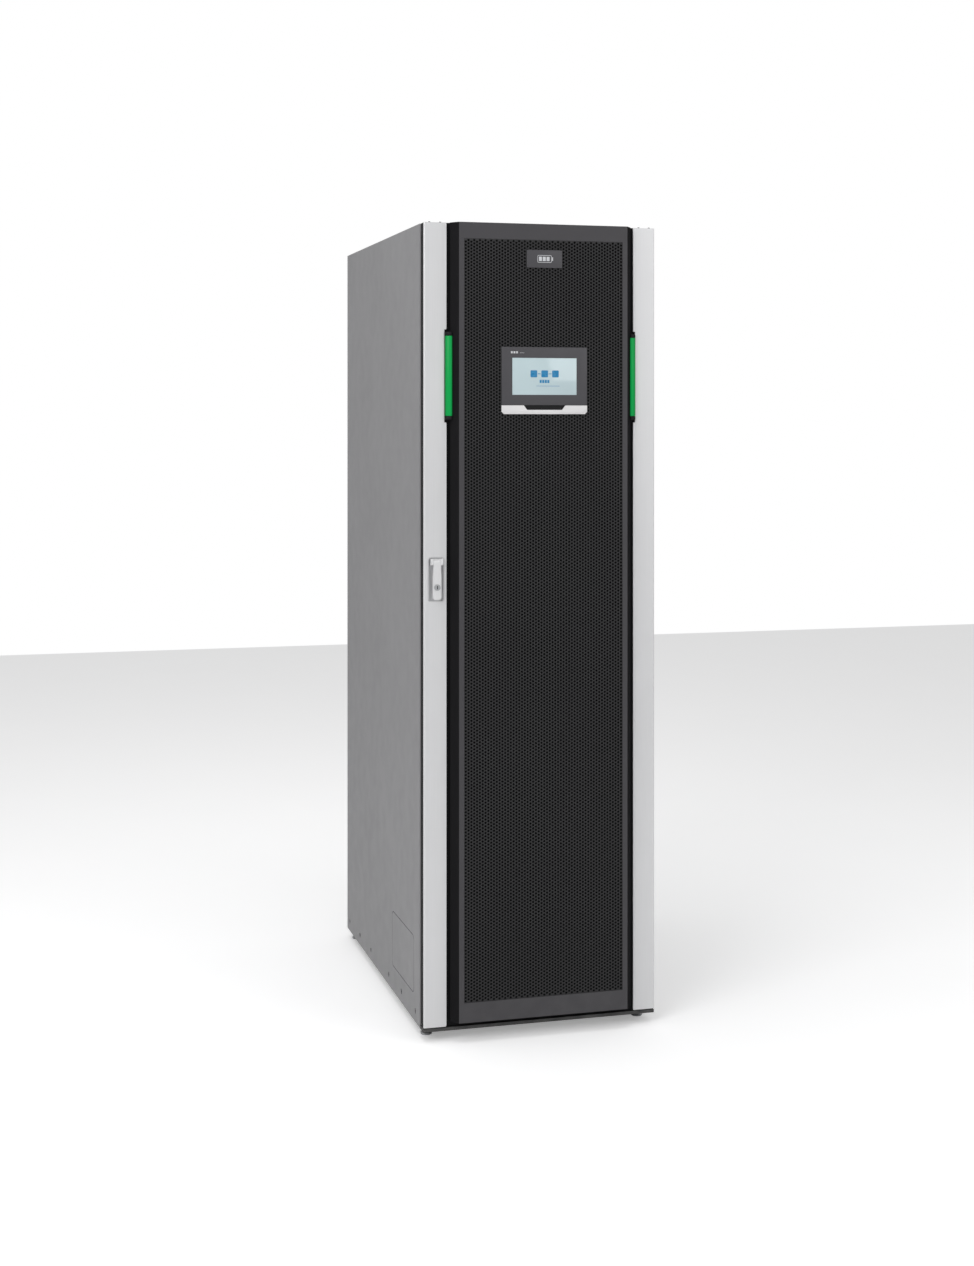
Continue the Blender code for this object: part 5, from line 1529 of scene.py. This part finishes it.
@dataclass
class BatteryBay:
    """The four battery modules in their rack, and the lead."""

    workshop: Workshop
    vent_count: int = 9
    vent_pitch: float = 0.0085

    def build(self) -> None:
        """Dresses the rack and furnishes each module's face."""
        shop = self.workshop
        shop.dress(MODULE_PAINT, "battery_rack")
        shop.dress(LEAD_ORANGE, "battery_lead")
        nodes = [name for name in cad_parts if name.startswith("battery_module_")]
        shop.dress(BATTERY_PLASTIC, *nodes)
        for name in sorted(nodes):
            self.add_face(name)
        self.add_glands()

    def add_face(self, node: str) -> None:
        """Adds vents, screws, a connector pair and a status lamp to one module's face.

        Args:
            node: The module's node.
        """
        shop = self.workshop
        low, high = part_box(node)
        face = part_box("battery_rack")[0].y - 0.002
        bottom, top = low.z, high.z
        places = [(x, face, z) for x in (low.x + 0.012, high.x - 0.012) for z in (bottom + 0.016, top - 0.016)]
        kind = Screw(radius=0.0045, height=0.0022)
        shop.piece(f"{node}_screws", screws(places, Axis.Y, -1, kind), ZINC, Body.CABINET, "zinc_steel")
        vents = []
        for row in (bottom + 0.022, top - 0.026):
            for index in range(self.vent_count):
                x = (index - (self.vent_count - 1) / 2) * self.vent_pitch
                outline = rounded((x - 0.002, row - 0.008), (x + 0.002, row + 0.008), 0.0019, 3)
                # Painted shade: each vent is a black patch standing for the shadow inside the slot.
                vents.append(prism(outline, Axis.Y, face - 0.0003, face + 0.0006))
        shop.piece(f"{node}_vents", merged(vents), RUBBER_AND_PAINTED_SHADE, Body.CABINET, "battery_case")
        middle = (bottom + top) / 2
        sockets, pins = [], []
        for x in (0.018, 0.052):
            socket_low = (x - 0.012, face - 0.009, middle - 0.010)
            socket_high = (x + 0.012, face + 0.0005, middle + 0.010)
            sockets.append(block(socket_low, socket_high, 0.0014))
            pins.append(turned(CONTACT_PROFILE, Axis.Y, (x, face - 0.0102, middle), 16))
        shop.piece(f"{node}_sockets", merged(sockets), BLACK_PLASTIC, Body.CABINET, "battery_case")
        shop.piece(f"{node}_contacts", merged(pins), COPPER, Body.CABINET, "battery_case")
        lamp = turned(LAMP_PROFILE, Axis.Y, (-0.068, face, top - 0.026), LAMP_STEPS)
        shop.piece(f"{node}_lamp", lamp, LED_GREEN, Body.CABINET, "battery_case")

    def add_glands(self) -> None:
        """Adds a gland on the battery breaker's underside where the lead goes in."""
        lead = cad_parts["battery_lead"]
        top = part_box("battery_lead")[1].z
        points = [lead.matrix_world @ v.co for v in lead.data.vertices]
        end = [point for point in points if point.z > top - 0.001]
        centre = sum(end, Vector()) / len(end)
        profile = [(0.0066, 0.0), (0.0105, 0.0), (0.0105, -0.006), (0.0090, -0.0085), (0.0066, -0.009)]
        shape = turned(profile + profile[:1], Axis.Z, tuple(centre), 20)
        self.workshop.piece("lead_upper_gland", shape, BLACK_PLASTIC, Body.CABINET, "black_plastic")


@dataclass
class Electronics:
    """The power module, static switch module and breaker panel with their fine pieces."""

    workshop: Workshop
    guard_radii: tuple[float, ...] = (0.018, 0.030, 0.042, 0.054, 0.066)
    wire: float = 0.0009

    def build(self) -> None:
        """Dresses the modules and adds fan guards, screws, lamps, vents and the knob's pointer line."""
        shop = self.workshop
        shop.dress(MODULE_PAINT, "power_module", "static_switch_module")
        shop.dress(PANEL_PAINT, "breaker_panel")
        shop.dress(BLACK_PLASTIC, "left_fan_rotor", "right_fan_rotor", "battery_breaker", "bypass_switch")
        shop.dress(BREAKER_RED, "bypass_switch_knob")
        shop.dress(GRIP_GREY, "battery_breaker_lever")
        for name, side in (("left", -1), ("right", 1)):
            self.add_guard(name, side)
        self.add_screws()
        self.add_vents()
        self.add_lamps()
        self.add_knob_mark()

    def add_guard(self, name: str, side: int) -> None:
        """Builds a wire fan guard.

        Args:
            name: left or right.
            side: -1 or 1.
        """
        low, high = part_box("power_module")
        rotor_low, rotor_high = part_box(f"{name}_fan_rotor")
        inner = rotor_low.x if side > 0 else rotor_high.x
        middle_z = (low.z + high.z) / 2
        reach = max(rotor_high.z - middle_z, middle_z - rotor_low.z, 0.066)
        centre = (inner + side * reach, low.y - 0.0024, middle_z)
        parts = []
        for radius in self.guard_radii:
            wire = self.wire
            section = [
                (radius + wire * cos(2 * pi * step / 6), wire * sin(2 * pi * step / 6)) for step in range(6)
            ]
            parts.append(turned(section + section[:1], Axis.Y, centre, 36))
        for step in range(4):
            angle = pi / 4 + pi / 2 * step
            far = self.guard_radii[-1] + 0.008
            start = (centre[0] + 0.010 * cos(angle), centre[1] + 0.0012, centre[2] + 0.010 * sin(angle))
            end = (centre[0] + far * cos(angle), centre[1] + 0.0012, centre[2] + far * sin(angle))
            parts.append(tube([start, end], self.wire, 6))
        self.workshop.piece(f"{name}_fan_guard", merged(parts), ZINC, Body.CABINET, "zinc_steel")

    def add_screws(self) -> None:
        """Adds the fixing screws of the three front plates."""
        places = []
        for node in ("power_module", "static_switch_module", "breaker_panel"):
            low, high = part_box(node)
            for x in (low.x + 0.011, high.x - 0.011):
                for z in (low.z + 0.018, (low.z + high.z) / 2, high.z - 0.018):
                    places.append((x, low.y, z))
        kind = Screw(radius=0.0042, height=0.0022)
        self.workshop.piece("module_screws", screws(places, Axis.Y, -1, kind), ZINC, Body.CABINET, "zinc_steel")

    def add_vents(self) -> None:
        """Adds the slots of the static switch module."""
        low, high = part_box("static_switch_module")
        parts = []
        for row in range(3):
            for column in range(16):
                x = -0.175 + column * 0.0135
                z = (low.z + high.z) / 2 + (row - 1) * 0.030
                outline = rounded((x - 0.0022, z - 0.0115), (x + 0.0022, z + 0.0115), 0.0021, 3)
                # Painted shade: each slot is a black patch standing for the shadow inside it.
                parts.append(prism(outline, Axis.Y, low.y - 0.0003, low.y + 0.0006))
        self.workshop.piece("static_switch_vents", merged(parts), RUBBER_AND_PAINTED_SHADE, Body.CABINET, "black_plastic")

    def add_lamps(self) -> None:
        """Adds status lamps and a service socket cover."""
        parts = []
        for node in ("power_module", "static_switch_module"):
            low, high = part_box(node)
            for index in range(3):
                place = (0.150 + index * 0.012, low.y, high.z - 0.022)
                parts.append(turned(LAMP_PROFILE, Axis.Y, place, LAMP_STEPS))
        self.workshop.piece("module_lamps", merged(parts), LED_GREEN, Body.CABINET, "green_lens")
        low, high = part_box("static_switch_module")
        cover = block((0.075, low.y - 0.003, low.z + 0.045), (0.185, low.y + 0.0004, high.z - 0.055), 0.0014)
        self.workshop.piece("service_socket_cover", cover, GRIP_GREY, Body.CABINET, "black_plastic")

    def add_knob_mark(self) -> None:
        """Adds the pointer line on the bypass knob."""
        low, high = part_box("bypass_switch_knob")
        x = (low.x + high.x) / 2
        line = block((x - 0.0011, low.y - 0.0002, high.z - 0.020), (x + 0.0011, low.y + 0.0008, high.z - 0.006), 0.0003)
        self.workshop.piece("bypass_knob_line", line, MARK_PALE, Body.BYPASS_KNOB, "pale_plastic")


@dataclass
class Studio:
    """The pale floor, the soft lights and the camera."""

    floor_size: float = 14.0
    place: Point = (-1.2501, -4.5592, 1.4228)
    turn: float = -15.22
    lens: float = 52.70
    shift: float = -0.1685
    surroundings: float = 0.42
    floor_lift: float = 0.3

    def build(self, effects: Effects) -> None:
        """Sets up everything round the object.

        Args:
            effects: the shared node groups.
        """
        self.add_floor(effects)
        self.add_world()
        self.add_lights()
        self.add_camera()

    def add_floor(self, effects: Effects) -> None:
        """Lays the pale floor.

        Args:
            effects: the shared node groups.
        """
        bm = bmesh.new()
        bmesh.ops.create_grid(bm, x_segments=1, y_segments=1, size=self.floor_size / 2)
        mesh = bpy.data.meshes.new("studio_floor")
        bm.to_mesh(mesh)
        bm.free()
        material = FLOOR.material(effects)
        wires = Wiring(material.node_tree)
        seen = wires.node("ShaderNodeLightPath").outputs["Is Camera Ray"]
        shader = material.node_tree.nodes["Principled BSDF"]
        wires.link(wires.maths("MULTIPLY", seen, self.floor_lift), shader.inputs["Emission Strength"])
        mesh.materials.append(material)
        floor = bpy.data.objects.new("studio_floor", mesh)
        bpy.context.scene.collection.objects.link(floor)

    def add_world(self) -> None:
        """Makes the near-white surroundings."""
        world = bpy.data.worlds.new("studio_world")
        world.use_nodes = True
        wires = Wiring(world.node_tree)
        shade = world.node_tree.nodes["Background"]
        shade.inputs["Color"].default_value = (1.0, 1.0, 1.0, 1.0)
        seen = wires.node("ShaderNodeLightPath").outputs["Is Camera Ray"]
        strength = wires.maths("MULTIPLY_ADD", seen, 1.0 - self.surroundings, self.surroundings)
        wires.link(strength, shade.inputs["Strength"])
        bpy.context.scene.world = world

    def add_lights(self) -> None:
        """Hangs the soft boxes: a large key from the front left, a fill and a top light."""
        centre = Vector((0, 0, 0.95))
        boxes = (
            ("key", (-3.2, -3.2, 3.2), 2.6, 74.0),
            ("fill", (2.6, -3.8, 2.4), 2.4, 30.0),
            ("top", (-0.6, -0.4, 4.4), 3.0, 60.0),
        )
        for name, place, size, power in boxes:
            light = bpy.data.lights.new(f"studio_{name}", "AREA")
            light.shape = "SQUARE"
            light.size = size
            light.energy = power
            lamp = bpy.data.objects.new(f"studio_{name}", light)
            lamp.location = place
            lamp.rotation_euler = (centre - Vector(place)).to_track_quat("-Z", "Y").to_euler()
            bpy.context.scene.collection.objects.link(lamp)

    def add_camera(self) -> None:
        """Places the camera: level, a little left of the cabinet's front."""
        data = bpy.data.cameras.new("studio_camera")
        data.lens = self.lens
        data.sensor_width = 36.0
        data.shift_y = self.shift
        camera = bpy.data.objects.new("studio_camera", data)
        camera.location = self.place
        camera.rotation_euler = (radians(90), 0, radians(self.turn))
        bpy.context.scene.collection.objects.link(camera)
        bpy.context.scene.camera = camera
        bpy.context.scene.view_settings.view_transform = "Standard"


def main() -> None:
    """Builds the visual model over the CAD frame, then the studio."""
    logging.basicConfig(level=logging.INFO, format="%(message)s")
    effects = Effects()
    workshop = Workshop(effects)
    PerforatedSheet(workshop).build()
    DoorFront(workshop).build()
    LightBars(workshop).build()
    Display(workshop).build()
    SwingHandle(workshop).build()
    CabinetShell(workshop).build()
    CabinetFrame(workshop).build()
    BatteryBay(workshop).build()
    Electronics(workshop).build()
    Studio().build(effects)


if __name__ == "__main__":
    main()
